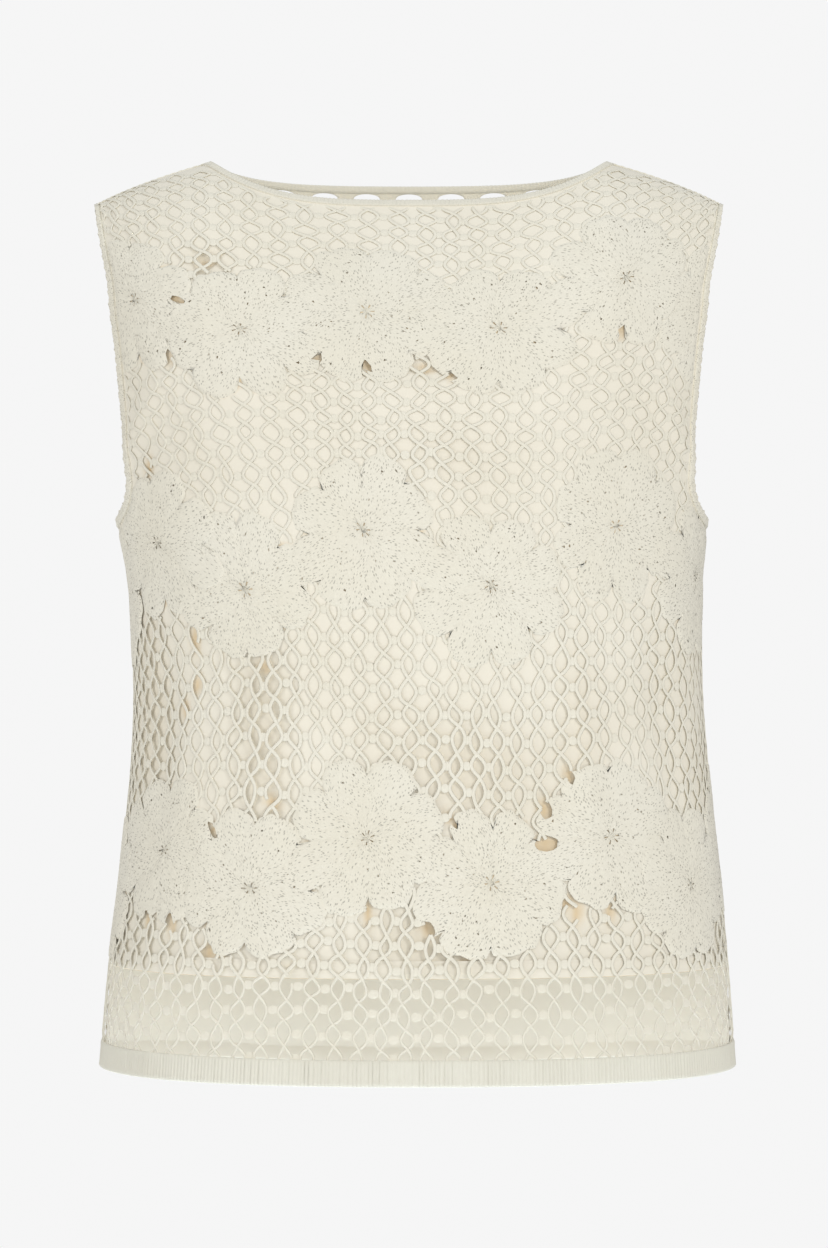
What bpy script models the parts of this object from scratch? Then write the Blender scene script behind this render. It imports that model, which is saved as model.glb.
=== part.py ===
# Boat neck top: a lace body over a plain lining, worn shape, with nobody inside.
# The origin is midway between the two neck points of the shoulders. Metres, +Z up,
# the front faces -Y and +X is the right of somebody looking at the front.
import math

import bmesh
import bpy
import numpy as np
from mathutils import Vector, geometry

# Driving sizes
LENGTH = 0.567            # neck point down to the front hem edge
NECK_HALF = 0.1245        # centre to the neck point
TIP_HALF = 0.1980         # centre to the shoulder tip
SHOULDER_DROP = 0.0275    # neck point down to the shoulder tip
UNDERARM = -0.2255        # level of the underarm point
FRONT_NECK_DROP = 0.0293  # neck point down to the front neck edge
BACK_NECK_DROP = 0.0078
NECKBAND = 0.005          # heights of the sewn-on bands
ARMHOLE_BAND = 0.006
HEM_BAND = 0.016
BACK_DROP = 0.014         # the back hem hangs this much lower at its middle
LINING_SHORT = {"front": 0.064, "back": 0.020}  # linings end this far above the hem edge

# Cloth thicknesses, measured in from the face of the lace
LACE = 0.0015
BAND_OUT = 0.0003
BAND_IN = 0.0017
LINING_EDGE = 0.0022      # face of the lining where it is sewn under a band
LINING_FACE = 0.0036      # face of the lining where it hangs free
LINING_TUCK = 0.0020      # the lining stops this far from the free edge of a band
LINING = 0.0010
SEAM = 0.0003             # gap that a straight seam keeps
CURVED_SEAM = 0.0005      # and a curved one

# Body sections. Columns: level, half width, front depth, back depth, sideways shift
SECTIONS = (
    (0.030, 0.2120, 0.136, 0.106, 0.0000),
    (-0.060, 0.2030, 0.136, 0.106, 0.0000),
    (-0.120, 0.1950, 0.137, 0.108, 0.0000),
    (-0.190, 0.1875, 0.138, 0.110, 0.0005),
    (-0.2255, 0.1855, 0.138, 0.110, 0.0020),
    (-0.254, 0.1812, 0.137, 0.108, 0.0035),
    (-0.301, 0.1790, 0.131, 0.104, 0.0050),
    (-0.339, 0.1789, 0.127, 0.101, 0.0060),
    (-0.377, 0.1812, 0.125, 0.101, 0.0067),
    (-0.436, 0.1874, 0.126, 0.105, 0.0070),
    (-0.512, 0.1953, 0.130, 0.111, 0.0060),
    (-0.567, 0.1997, 0.133, 0.115, 0.0055),
)
SQUARENESS = 2.3          # power of the rounded sections, 2 is an ellipse
# How each side rolls up to the shoulder line. Columns: side, level where it starts,
# height of the unseen top at the centre, powers at the centre, powers at the shoulder
ROLLS = {
    "front": (-0.200, 0.012, (1.5, 1.3), (1.8, 1.8)),
    "back": (-0.150, 0.030, (2.0, 2.0), (2.0, 2.0)),
}
NECK_POWERS = {"front": 3.6, "back": 5.0}
# Armhole edge as seen from the front. Columns: level, half width
ARMHOLE = (
    (-0.0485, 0.1934),
    (-0.0660, 0.1896),
    (-0.0780, 0.1870),
    (-0.0988, 0.1846),
    (-0.1197, 0.1814),
    (-0.1424, 0.1789),
    (-0.1625, 0.1768),
    (-0.1800, 0.1747),
    (-0.1940, 0.1738),
    (-0.2060, 0.1742),
    (-0.2150, 0.1768),
    (-0.2215, 0.1812),
)
# Soft folds of the worn cloth. Columns: side, start across and down, end across and
# down, half width, height (negative is a trough)
FOLDS = (
    ("front", -0.092, 0.305, -0.094, 0.420, 0.013, 0.0030),
    ("front", 0.099, 0.300, 0.104, 0.425, 0.013, 0.0032),
    ("front", -0.168, 0.300, -0.176, 0.420, 0.014, -0.0030),
    ("front", 0.158, 0.300, 0.172, 0.430, 0.014, -0.0028),
    ("front", -0.200, 0.200, -0.150, 0.140, 0.010, 0.0028),
    ("front", 0.203, 0.205, 0.150, 0.145, 0.010, 0.0028),
    ("front", -0.060, 0.136, 0.045, 0.133, 0.009, -0.0018),
    ("back", -0.060, 0.270, -0.066, 0.410, 0.015, 0.0032),
    ("back", 0.052, 0.280, 0.060, 0.400, 0.014, 0.0030),
    ("back", -0.135, 0.250, -0.142, 0.400, 0.014, -0.0028),
    ("back", 0.130, 0.260, 0.140, 0.420, 0.014, -0.0030),
    ("back", -0.180, 0.190, -0.120, 0.150, 0.011, 0.0026),
    ("back", 0.182, 0.188, 0.125, 0.150, 0.011, 0.0026),
)

# Flowers of the lace: rows down the cloth, even pitch across, every second one lower
FLOWER_ROWS = (0.087, 0.253, 0.434)
FLOWER_PITCH = 0.077
FLOWER_START = -0.031
FLOWER_ZIGZAG = 0.0145
FLOWER_RADIUS = 0.0392
FLOWER_RISE = 0.0010
FLOWER_BEVEL = 0.0013     # how far the raised face is drawn in from the flower's foot
FLOWER_EDGE = 0.0025      # room that a flower's foot keeps to its panel's edge
PETALS = 8
CLEFT = 0.77              # depth of the clefts, as a share of the radius
# Shape of half a petal. Columns: share of the way from cleft to tip, share of the radius
PETAL = ((0.0, CLEFT), (0.36, 0.945), (1.0, 1.0), (1.64, 0.945))
# Gaps that are cut through at a cleft. Columns: share of the radius, half width
CLEFT_GAP = ((0.825, 0.0), (0.925, 0.0030), (1.035, 0.0023))
CUT_CLEFTS = (2, 5, 6, 7)  # clefts that have a cut gap, counted from +X towards +Z
# Row of big eyelets below the back neckband
EYELET_PITCH = 0.0243
EYELET_WIDTH = 0.0154
EYELET_HEIGHT = 0.0075
EYELETS = 9
EYELET_DROP = 0.0072      # neck edge down to the top of the eyelets

# Fineness
GRID_ACROSS = 0.026
GRID_DOWN = 0.029
GRID_ROOM = 0.012         # loose points keep this far from a panel's edge
HEM_STEPS = 36
NECK_STEPS = 26
ARM_STEPS = 22
TABLE_COLUMNS = 121
TABLE_ROWS = 181

CREAM = (0.80, 0.755, 0.635)
LINING_CREAM = (0.78, 0.745, 0.64)
BAND_CREAM = (0.79, 0.765, 0.665)


def clear_scene():
    """Take away whatever the file holds."""
    for thing in list(bpy.data.objects):
        bpy.data.objects.remove(thing, do_unlink=True)


def cloth_material(name, colour):
    """A plain rough cloth."""
    material = bpy.data.materials.new(name)
    material.use_nodes = True
    shader = material.node_tree.nodes["Principled BSDF"]
    shader.inputs["Base Color"].default_value = (*colour, 1.0)
    shader.inputs["Roughness"].default_value = 0.9
    shader.inputs["Metallic"].default_value = 0.0
    return material


def smooth_column(number, level):
    """Column of SECTIONS at a level, on a smooth curve through its rows."""
    rows = np.array(SECTIONS)[::-1]
    levels, values = rows[:, 0], rows[:, number]
    slopes = np.gradient(values, levels)
    level = np.clip(level, levels[0], levels[-1])
    index = np.clip(np.searchsorted(levels, level) - 1, 0, len(levels) - 2)
    step = levels[index + 1] - levels[index]
    t = (level - levels[index]) / step
    start = (1 + 2 * t) * (1 - t) ** 2 * values[index] + t * (1 - t) ** 2 * step * slopes[index]
    end = t * t * (3 - 2 * t) * values[index + 1] - t * t * (1 - t) * step * slopes[index + 1]
    return start + end


def shoulder_height(x, centre_height):
    """Height of the shoulder line over x; inside the neck it is the unseen top."""
    x = np.abs(x)
    share = np.clip((x - NECK_HALF) / (TIP_HALF - NECK_HALF), 0.0, 1.4)
    outside = -SHOULDER_DROP * (0.8 * share + 0.2 * share ** 3)
    inside = centre_height * np.clip(1 - (x / NECK_HALF) ** 2, 0.0, 1.0)
    return outside + inside


def section_angles():
    """Angles round a quarter section against the share of its length."""
    power = 2 / SQUARENESS
    angles = np.linspace(0, math.pi / 2, 600)
    x = 0.184 * np.sin(angles) ** power
    y = 0.125 * np.cos(angles) ** power
    lengths = np.concatenate(([0.0], np.cumsum(np.hypot(np.diff(x), np.diff(y)))))
    return angles, lengths / lengths[-1], lengths[-1]


ANGLES, SHARES, HALF = section_angles()
SIDE_SIGN = {"front": -1.0, "back": 1.0}


class Sheet:
    """Front or back of the body: metres across and down the cloth to a point in space."""

    def __init__(self, side):
        self.side = side
        self.sign = SIDE_SIGN[side]
        self.build_table()

    def depth(self, x, angle, level):
        """Y of the sheet where its column passes a level."""
        start, centre_height, centre_powers, shoulder_powers = ROLLS[self.side]
        top = shoulder_height(x, centre_height)
        t = np.clip((top - level) / (top - start), 0.0, 1.0)
        mix = np.clip(np.abs(x) / NECK_HALF, 0.0, 1.0) ** 2
        first = centre_powers[0] + mix * (shoulder_powers[0] - centre_powers[0])
        second = centre_powers[1] + mix * (shoulder_powers[1] - centre_powers[1])
        roll = (1 - (1 - t) ** first) ** (1 / second)
        column = 2 if self.side == "front" else 3
        full = smooth_column(column, level) * np.cos(angle) ** (2 / SQUARENESS)
        return self.sign * full * roll

    def hem(self, across):
        """Down value of the hem edge."""
        drop = BACK_DROP if self.side == "back" else 0.0
        return LENGTH + drop * (1 - (np.asarray(across) / HALF) ** 2) ** 2

    def column(self, share):
        """Points down one column, from the shoulder line to the hem."""
        angle = np.interp(abs(share), SHARES, ANGLES)
        reach = math.copysign(math.sin(angle) ** (2 / SQUARENESS), share)
        centre_height = ROLLS[self.side][1]
        top = 0.0
        for _ in range(12):
            x = smooth_column(1, top) * abs(reach)
            top = float(shoulder_height(x, centre_height))
        bottom = float(self.hem(share * HALF))
        levels = top + (-bottom - top) * np.linspace(0, 1, 900) ** 2
        across = smooth_column(1, levels) * reach
        y = self.depth(across, angle, levels)
        y[0] = 0.0 if abs(x) >= NECK_HALF else y[0]
        return np.stack((across + smooth_column(4, levels), y, levels), axis=1)

    def build_table(self):
        """Points at even lengths down each column; the level UNDERARM keeps its number."""
        self.shares = np.linspace(-1, 1, TABLE_COLUMNS)
        self.rows = np.linspace(0, 1, TABLE_ROWS)
        self.tops = np.zeros(TABLE_COLUMNS)
        self.points = np.zeros((TABLE_COLUMNS, TABLE_ROWS, 3))
        for i, share in enumerate(self.shares):
            line = self.column(share)
            steps = np.linalg.norm(np.diff(line, axis=0), axis=1)
            run = np.concatenate(([0.0], np.cumsum(steps)))
            at_underarm = np.interp(-UNDERARM, -line[:, 2], run)
            down = np.where(line[:, 2] < UNDERARM, -line[:, 2], run - at_underarm - UNDERARM)
            self.tops[i] = down[0]
            wanted = down[0] + self.rows * (self.hem(share * HALF) - down[0])
            for axis in range(3):
                self.points[i, :, axis] = np.interp(wanted, down, line[:, axis])

    def blend(self, table, i, k, a, b):
        """Bilinear value of a table at fractions a and b past cell i, k."""
        near = table[i, k] * (1 - b) + table[i, k + 1] * b
        far = table[i + 1, k] * (1 - b) + table[i + 1, k + 1] * b
        return near * (1 - a) + far * a

    def bare(self, across, down):
        """Point of the sheet without its folds."""
        place = (np.clip(across / HALF, -1, 1) + 1) / 2 * (TABLE_COLUMNS - 1)
        i = min(int(place), TABLE_COLUMNS - 2)
        a = place - i
        top = self.tops[i] * (1 - a) + self.tops[i + 1] * a
        place = np.clip((down - top) / (self.hem(across) - top), 0, 1) * (TABLE_ROWS - 1)
        k = min(int(place), TABLE_ROWS - 2)
        return self.blend(self.points, i, k, a, place - k)

    def top(self, across):
        """Down value of the shoulder line over a place across."""
        return float(np.interp(across / HALF, self.shares, self.tops))

    def normal(self, across, down):
        """Outward direction, kept in the plane of the seam at a seam."""
        step = 0.002
        left, right = max(across - step, -HALF), min(across + step, HALF)
        high, low = max(down - step, self.top(across)), min(down + step, self.hem(across))
        over = self.bare(right, down) - self.bare(left, down)
        along = self.bare(across, low) - self.bare(across, high)
        result = np.cross(along, over) * -self.sign
        at_side = abs(across) > HALF - 0.001 and down > -UNDERARM - 0.001
        at_shoulder = down < self.top(across) + 0.001
        if at_side or at_shoulder:
            result[1] = 0.0
        return result / np.linalg.norm(result)

    def fold(self, across, down):
        """Height of the soft folds."""
        total = 0.0
        for side, x0, v0, x1, v1, width, height in FOLDS:
            if side == self.side:
                total += height * ridge((across, down), (x0, v0), (x1, v1), width)
        return total * (1 - min(abs(across) / HALF, 1.0) ** 8)

    def point(self, across, down, out):
        """Point of the folded sheet, moved out along its normal."""
        normal = self.normal(across, down)
        return self.bare(across, down) + normal * (out + self.fold(across, down))

    def find(self, x, level):
        """Across and down of the point seen at x on a level."""
        reach = min(abs(x) / float(smooth_column(1, level)), 1.0)
        angle = math.asin(reach ** (SQUARENESS / 2))
        share = math.copysign(float(np.interp(angle, ANGLES, SHARES)), x)
        place = (share + 1) / 2 * (TABLE_COLUMNS - 1)
        i = min(int(place), TABLE_COLUMNS - 2)
        a = place - i
        levels = self.points[i, :, 2] * (1 - a) + self.points[i + 1, :, 2] * a
        top = self.tops[i] * (1 - a) + self.tops[i + 1] * a
        row = float(np.interp(-level, -levels, self.rows))
        return np.array((share * HALF, top + row * (self.hem(share * HALF) - top)))


def ridge(place, start, end, width):
    """Share of a soft fold's height at a place: full along it, fading past its ends."""
    px, py = place[0] - start[0], place[1] - start[1]
    dx, dy = end[0] - start[0], end[1] - start[1]
    length = math.hypot(dx, dy)
    along = (px * dx + py * dy) / length
    aside = (px * dy - py * dx) / length
    past = max(0.0, -along, along - length)
    middle = math.sin(math.pi * min(max(along / length, 0.0), 1.0))
    return math.exp(-(aside / width) ** 2 - (past / width) ** 2) * (0.35 + 0.65 * middle)


def resample(points, steps):
    """Even stations along a smooth line through points."""
    points = np.array(points)
    run = np.concatenate(([0.0], np.cumsum(np.linalg.norm(np.diff(points, axis=0), axis=1))))
    slopes = np.gradient(points, run, axis=0)
    result = []
    for place in np.linspace(0, run[-1], steps + 1):
        i = min(int(np.searchsorted(run, place, side="right")) - 1, len(run) - 2)
        step = run[i + 1] - run[i]
        t = (place - run[i]) / step
        start = (1 + 2 * t) * (1 - t) ** 2 * points[i] + t * (1 - t) ** 2 * step * slopes[i]
        end = t * t * (3 - 2 * t) * points[i + 1] - t * t * (1 - t) * step * slopes[i + 1]
        result.append(start + end)
    return np.array(result)


def inset(line, distance, turn, first, last):
    """Line moved sideways into the cloth; its ends slide along the seams they start on."""
    tangents = np.gradient(line, axis=0)
    tangents /= np.linalg.norm(tangents, axis=1)[:, None]
    into = np.stack((-tangents[:, 1], tangents[:, 0]), axis=1) * turn
    moved = line + into * distance
    for index, seam in ((0, first), (-1, last)):
        seam = np.array(seam) / np.linalg.norm(seam)
        moved[index] = line[index] + seam * distance / abs(float(seam @ into[index]))
    return moved


def shoulder_slope(sheet, across, sign):
    """Direction along the shoulder seam, outward for sign 1 on the right."""
    step = 0.002 * sign
    return (step, sheet.top(across + step) - sheet.top(across))


def neck_line(sheet, distance=0.0):
    """Neck edge from left to right, moved into the cloth."""
    drop = FRONT_NECK_DROP if sheet.side == "front" else BACK_NECK_DROP
    stations = []
    for place in np.linspace(-1, 1, NECK_STEPS + 1):
        x = NECK_HALF * math.sin(place * math.pi / 2)
        level = -drop * (1 - abs(x / NECK_HALF) ** NECK_POWERS[sheet.side])
        stations.append(sheet.find(x, level))
    line = resample(stations, NECK_STEPS)
    line[0, 1] = sheet.top(line[0, 0])
    line[-1, 1] = sheet.top(line[-1, 0])
    left = shoulder_slope(sheet, line[0, 0], -1)
    right = shoulder_slope(sheet, line[-1, 0], 1)
    return inset(line, distance, 1, left, right) if distance else line


def arm_line(sheet, sign, distance=0.0):
    """Armhole edge from the shoulder tip to the underarm, moved into the cloth."""
    stations = [sheet.find(sign * TIP_HALF, -SHOULDER_DROP)]
    stations[0][1] = sheet.top(stations[0][0])
    stations += [sheet.find(sign * half, level) for level, half in ARMHOLE]
    stations.append(np.array((sign * HALF, -UNDERARM)))
    line = resample(stations, ARM_STEPS)
    if not distance:
        return line
    slope = shoulder_slope(sheet, line[0, 0], -sign)
    return inset(line, distance, sign, slope, (0, 1))


def hem_line(sheet, above):
    """Line from side seam to side seam, this far above the hem edge."""
    across = np.linspace(-(HALF - SEAM / 2), HALF - SEAM / 2, HEM_STEPS + 1)
    return np.stack((across, sheet.hem(across) - above), axis=1)


def panel_outline(sheet, neck, arm, above):
    """Closed outline of a panel: hem, right side, armhole, shoulder, neck and back down."""
    hem = hem_line(sheet, above)
    neck_edge = neck_line(sheet, neck)
    left_arm, right_arm = arm_line(sheet, -1, arm), arm_line(sheet, 1, arm)
    for edge in (left_arm, right_arm):
        edge[-1, 0] = math.copysign(HALF - SEAM / 2, edge[-1, 0])
        edge[0, 1] = sheet.top(edge[0, 0]) + SEAM / 2
    for end in (0, -1):
        neck_edge[end, 1] = sheet.top(neck_edge[end, 0]) + SEAM / 2
    right_side = side_steps(hem[-1], right_arm[-1])
    left_side = side_steps(left_arm[-1], hem[0])
    right_shoulder = shoulder_steps(sheet, right_arm[0, 0], neck_edge[-1, 0])
    left_shoulder = shoulder_steps(sheet, neck_edge[0, 0], left_arm[0, 0])
    parts = (hem, right_side, right_arm[::-1], right_shoulder, neck_edge[::-1],
             left_shoulder, left_arm, left_side)
    return np.concatenate(parts)


def side_steps(start, end):
    """Stations between the two ends of a side seam, without the ends."""
    steps = max(2, round(abs(end[1] - start[1]) / GRID_DOWN))
    return np.linspace(start, end, steps + 1)[1:-1]


def shoulder_steps(sheet, start, end):
    """Stations along the shoulder seam, without its ends."""
    across = np.linspace(start, end, 6)[1:-1]
    return np.array([(u, sheet.top(u) + SEAM / 2) for u in across])


def inside(points, ring):
    """Which points lie inside a closed ring, by the even-odd rule."""
    points = np.atleast_2d(points)
    x, y = points[:, :1], points[:, 1:]
    ax, ay = ring[:, 0], ring[:, 1]
    bx, by = np.roll(ax, -1), np.roll(ay, -1)
    spans = (ay > y) != (by > y)
    height = np.where(by == ay, 1.0, by - ay)
    crossing = x < (bx - ax) * (y - ay) / height + ax
    return (spans & crossing).sum(axis=1) % 2 == 1


def clearance(points, ring):
    """Distance from each point to the nearest edge of a ring."""
    points = np.atleast_2d(points)[:, None, :]
    start = ring[None, :, :]
    edge = np.roll(ring, -1, axis=0)[None, :, :] - start
    share = ((points - start) * edge).sum(axis=2) / (edge ** 2).sum(axis=2)
    nearest = start + np.clip(share, 0, 1)[:, :, None] * edge
    return np.linalg.norm(points - nearest, axis=2).min(axis=1)


def flower_centres(outline):
    """Centres of the flowers that have room inside an outline."""
    centres = []
    for down in FLOWER_ROWS:
        for number in range(-4, 5):
            lift = -FLOWER_ZIGZAG if number % 2 == 0 else FLOWER_ZIGZAG
            centre = np.array((FLOWER_START + number * FLOWER_PITCH, down + lift))
            if inside(centre, outline)[0] and clearance(centre, outline)[0] > 0.5 * FLOWER_RADIUS:
                centres.append(centre)
    return centres


def flower_loop(centre, shrink, outline, margin):
    """Outline of a flower, drawn in where it would reach past the panel's edge."""
    loop = []
    for petal in range(PETALS):
        for share, radius in PETAL:
            angle = math.tau * (petal + share / 2) / PETALS
            reach = FLOWER_RADIUS * radius - shrink
            point = centre + reach * np.array((math.cos(angle), -math.sin(angle)))
            while not inside(point, outline)[0] or clearance(point, outline)[0] < margin:
                reach -= 0.001
                point = centre + reach * np.array((math.cos(angle), -math.sin(angle)))
            loop.append(point)
    return np.array(loop)


def has_room(ring, outline):
    """Whether a ring lies wholly inside an outline, well clear of it."""
    return inside(ring, outline).all() and clearance(ring, outline).min() > FLOWER_EDGE


def cleft_gap(centre, number):
    """Cut gap between two petal ends."""
    angle = math.tau * number / PETALS
    out = np.array((math.cos(angle), -math.sin(angle)))
    aside = np.array((-out[1], out[0]))
    rows = [(FLOWER_RADIUS * share, half) for share, half in CLEFT_GAP]
    right = [centre + out * reach + aside * half for reach, half in rows]
    left = [centre + out * reach - aside * half for reach, half in rows[:0:-1]]
    return np.array(right + left)


def eyelet(sheet, number):
    """Cut oval below the back neckband."""
    line = neck_line(sheet, EYELET_DROP + EYELET_HEIGHT / 2)
    middle = (number - (EYELETS - 1) / 2) * EYELET_PITCH
    index = int(np.argmin(np.abs(line[:, 0] - middle)))
    slope = line[index + 1] - line[index - 1]
    along = slope / np.linalg.norm(slope)
    centre = line[index] + along * (middle - line[index, 0]) / along[0]
    down = np.array((-along[1], along[0]))
    turns = [math.tau * step / 10 for step in range(10)]
    return np.array([centre + along * EYELET_WIDTH / 2 * math.cos(a)
                     + down * EYELET_HEIGHT / 2 * math.sin(a) for a in turns])


def grid_points(outline, rings):
    """Loose points inside a panel, clear of its outline and of every ring."""
    across = np.arange(-9, 10) * GRID_ACROSS
    down = np.arange(-1, 21) * GRID_DOWN
    grid = np.array([(u, v) for u in across for v in down])
    grid = grid[inside(grid, outline) & (clearance(grid, outline) > GRID_ROOM)]
    for ring in rings:
        grid = grid[clearance(grid, ring) > 0.4 * GRID_ROOM]
    return grid


def panel_triangles(outline, holes, loops):
    """Triangles of a panel between its outline and holes, with loops kept as edges."""
    rings = [outline, *holes, *loops]
    grid = grid_points(outline, rings[1:])
    for hole in holes:
        grid = grid[~inside(grid, hole)]
    points, edges = [], []
    for ring in rings:
        first, count = len(points), len(ring)
        points += [Vector(point) for point in ring]
        edges += [(first + i, first + (i + 1) % count) for i in range(count)]
    points += [Vector(point) for point in grid]
    found = geometry.delaunay_2d_cdt(points, edges, [], 0, 1e-7)
    corners = np.array([tuple(point) for point in found[0]])
    triangles = np.array(found[2])
    middles = corners[triangles].mean(axis=1)
    keep = inside(middles, outline)
    for hole in holes:
        keep &= ~inside(middles, hole)
    return corners, triangles[keep]


def open_edges(triangles):
    """Edges that only one triangle uses, in its direction."""
    edges = {(t[i], t[(i + 1) % 3]) for t in triangles.tolist() for i in range(3)}
    return [edge for edge in edges if (edge[1], edge[0]) not in edges]


def add_object(name, points, faces, material):
    """Closed mesh object with its faces turned outward."""
    mesh = bpy.data.meshes.new(name)
    mesh.from_pydata([tuple(point) for point in points], [], faces)
    work = bmesh.new()
    work.from_mesh(mesh)
    bmesh.ops.recalc_face_normals(work, faces=work.faces)
    work.to_mesh(mesh)
    work.free()
    mesh.materials.append(material)
    thing = bpy.data.objects.new(name, mesh)
    bpy.context.scene.collection.objects.link(thing)
    return thing


def add_wall(name, sheet, outline, holes, loops, outer, inner, material):
    """Panel of cloth between two faces; only the outer one carries the loops' relief."""
    faces, points, corners = [], [], {}
    for face, rings, height in ((0, loops, outer), (1, [], inner)):
        flat, triangles = panel_triangles(outline, holes, rings)
        first = len(points)
        points += [sheet.point(u, v, height(u, v)) for u, v in flat]
        faces += (triangles + first).tolist()
        for number, (u, v) in enumerate(flat):
            corners[face, round(u, 6), round(v, 6)] = first + number
        if face == 0:
            rim = [(flat[a], flat[b]) for a, b in open_edges(triangles)]
    for a, b in rim:
        keys = [(round(p[0], 6), round(p[1], 6)) for p in (a, b)]
        top = [corners[(0, *key)] for key in keys]
        low = [corners[(1, *key)] for key in keys]
        faces.append([top[1], top[0], low[0], low[1]])
    return add_object(name, points, faces, material)


def add_lace(sheet, material):
    """Lace panel: raised flowers, cut clefts and, at the back, the row of eyelets."""
    neck, arm = NECKBAND + CURVED_SEAM, ARMHOLE_BAND + CURVED_SEAM
    outline = panel_outline(sheet, neck, arm, HEM_BAND + SEAM)
    centres = flower_centres(outline)
    base = [flower_loop(centre, 0.0, outline, FLOWER_EDGE) for centre in centres]
    raised_edge = FLOWER_EDGE + FLOWER_BEVEL
    raised = [flower_loop(centre, FLOWER_BEVEL, outline, raised_edge) for centre in centres]
    gaps = [cleft_gap(centre, number) for centre in centres for number in CUT_CLEFTS]
    holes = [gap for gap in gaps if has_room(gap, outline)]
    if sheet.side == "back":
        holes += [eyelet(sheet, number) for number in range(EYELETS)]

    def outer(u, v):
        place = np.array((u, v))
        for loop in raised:
            if inside(place, loop)[0] or clearance(place, loop)[0] < 1e-5:
                return FLOWER_RISE
        return 0.0

    return add_wall(sheet.side + "_lace", sheet, outline, holes, base + raised,
                    outer, lambda u, v: -LACE, material)


def add_lining(sheet, material):
    """Plain lining, sewn in under the bands; the front one ends above the lace's last rows."""
    below_eyelets = EYELET_DROP + EYELET_HEIGHT + 0.0025
    neck = LINING_TUCK if sheet.side == "front" else below_eyelets
    outline = panel_outline(sheet, neck, LINING_TUCK, LINING_SHORT[sheet.side])
    edges = [arm_line(sheet, sign, LINING_TUCK) for sign in (-1, 1)]
    edges.append(neck_line(sheet))

    def face(u, v):
        reach = min(np.linalg.norm(edge - (u, v), axis=1).min() for edge in edges)
        return -LINING_EDGE if reach < 1.5 * LINING_TUCK else -LINING_FACE

    return add_wall(sheet.side + "_lining", sheet, outline, [], [],
                    face, lambda u, v: face(u, v) - LINING, material)


def add_band(name, stations, material):
    """Strip of band. Stations: sheet, place on the free edge, place on the sewn edge."""
    points, faces = [], []
    for sheet, free, sewn in stations:
        points += [sheet.point(*free, BAND_OUT), sheet.point(*sewn, BAND_OUT),
                   sheet.point(*sewn, -BAND_IN), sheet.point(*free, -BAND_IN)]
    for step in range(len(stations) - 1):
        first = step * 4
        for i in range(4):
            j = (i + 1) % 4
            faces.append([first + i, first + j, first + 4 + j, first + 4 + i])
    faces.append([3, 2, 1, 0])
    faces.append([len(points) - 4 + i for i in range(4)])
    return add_object(name, points, faces, material)


def neck_stations(front, back):
    """Round the neck from the join at the centre back and back to it."""
    free, sewn = neck_line(back), neck_line(back, NECKBAND)
    join = EYELET_PITCH / 2
    cut = int(np.searchsorted(free[:, 0], join))
    share = (join - free[cut - 1, 0]) / (free[cut, 0] - free[cut - 1, 0])
    half_gap = np.array((SEAM / 2, 0.0))
    free_join = free[cut - 1] * (1 - share) + free[cut] * share
    sewn_join = sewn[cut - 1] * (1 - share) + sewn[cut] * share
    stations = [(back, free_join + half_gap, sewn_join + half_gap)]
    stations += [(back, free[i], sewn[i]) for i in range(cut, len(free) - 1)]
    front_free, front_sewn = neck_line(front), neck_line(front, NECKBAND)
    stations += [(front, front_free[i], front_sewn[i]) for i in range(len(front_free))][::-1]
    stations += [(back, free[i], sewn[i]) for i in range(1, cut)]
    stations.append((back, free_join - half_gap, sewn_join - half_gap))
    return stations


def arm_stations(front, back, sign):
    """Round an armhole from the underarm over the shoulder tip and back."""
    stations = []
    for sheet in (front, back):
        free, sewn = arm_line(sheet, sign), arm_line(sheet, sign, ARMHOLE_BAND)
        free[-1, 0] = sewn[-1, 0] = sign * (HALF - SEAM / 2)
        run = [(sheet, free[i], sewn[i]) for i in range(len(free))]
        stations += run[::-1] if sheet is front else run[1:]
    return stations


def hem_stations(sheet):
    """Along half of the hem."""
    free, sewn = hem_line(sheet, 0.0), hem_line(sheet, HEM_BAND)
    return [(sheet, free[i], sewn[i]) for i in range(len(free))]


def build():
    """Make every piece of the top."""
    clear_scene()
    front, back = Sheet("front"), Sheet("back")
    lace = cloth_material("lace", CREAM)
    plain = cloth_material("lining", LINING_CREAM)
    band = cloth_material("band", BAND_CREAM)
    for sheet in (front, back):
        add_lace(sheet, lace)
        add_lining(sheet, plain)
        add_band("hem_band_" + sheet.side, hem_stations(sheet), band)
    add_band("neckband", neck_stations(front, back), band)
    add_band("armhole_band_left", arm_stations(front, back, 1), band)
    add_band("armhole_band_right", arm_stations(front, back, -1), band)


build()
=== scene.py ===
# Looks of the boat neck top: lace with raised flowers over a plain lining, rib bands.
import math

import bmesh
import bpy
import numpy as np
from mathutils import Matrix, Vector, geometry


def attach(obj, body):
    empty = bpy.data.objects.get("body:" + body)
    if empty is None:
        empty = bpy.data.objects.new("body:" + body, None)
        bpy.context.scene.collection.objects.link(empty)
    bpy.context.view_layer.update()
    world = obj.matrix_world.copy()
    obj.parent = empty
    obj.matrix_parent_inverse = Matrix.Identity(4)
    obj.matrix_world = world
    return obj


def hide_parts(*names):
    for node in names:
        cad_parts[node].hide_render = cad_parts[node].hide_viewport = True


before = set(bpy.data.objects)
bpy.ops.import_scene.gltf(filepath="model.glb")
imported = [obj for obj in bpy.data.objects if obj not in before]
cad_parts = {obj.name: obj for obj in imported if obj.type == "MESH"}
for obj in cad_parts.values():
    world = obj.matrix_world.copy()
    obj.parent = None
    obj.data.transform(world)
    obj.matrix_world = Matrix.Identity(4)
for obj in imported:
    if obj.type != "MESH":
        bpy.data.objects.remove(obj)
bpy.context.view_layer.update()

for unwanted in ("Cube", "Light", "Camera"):
    if unwanted in bpy.data.objects:
        bpy.data.objects.remove(bpy.data.objects[unwanted], do_unlink=True)

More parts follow.
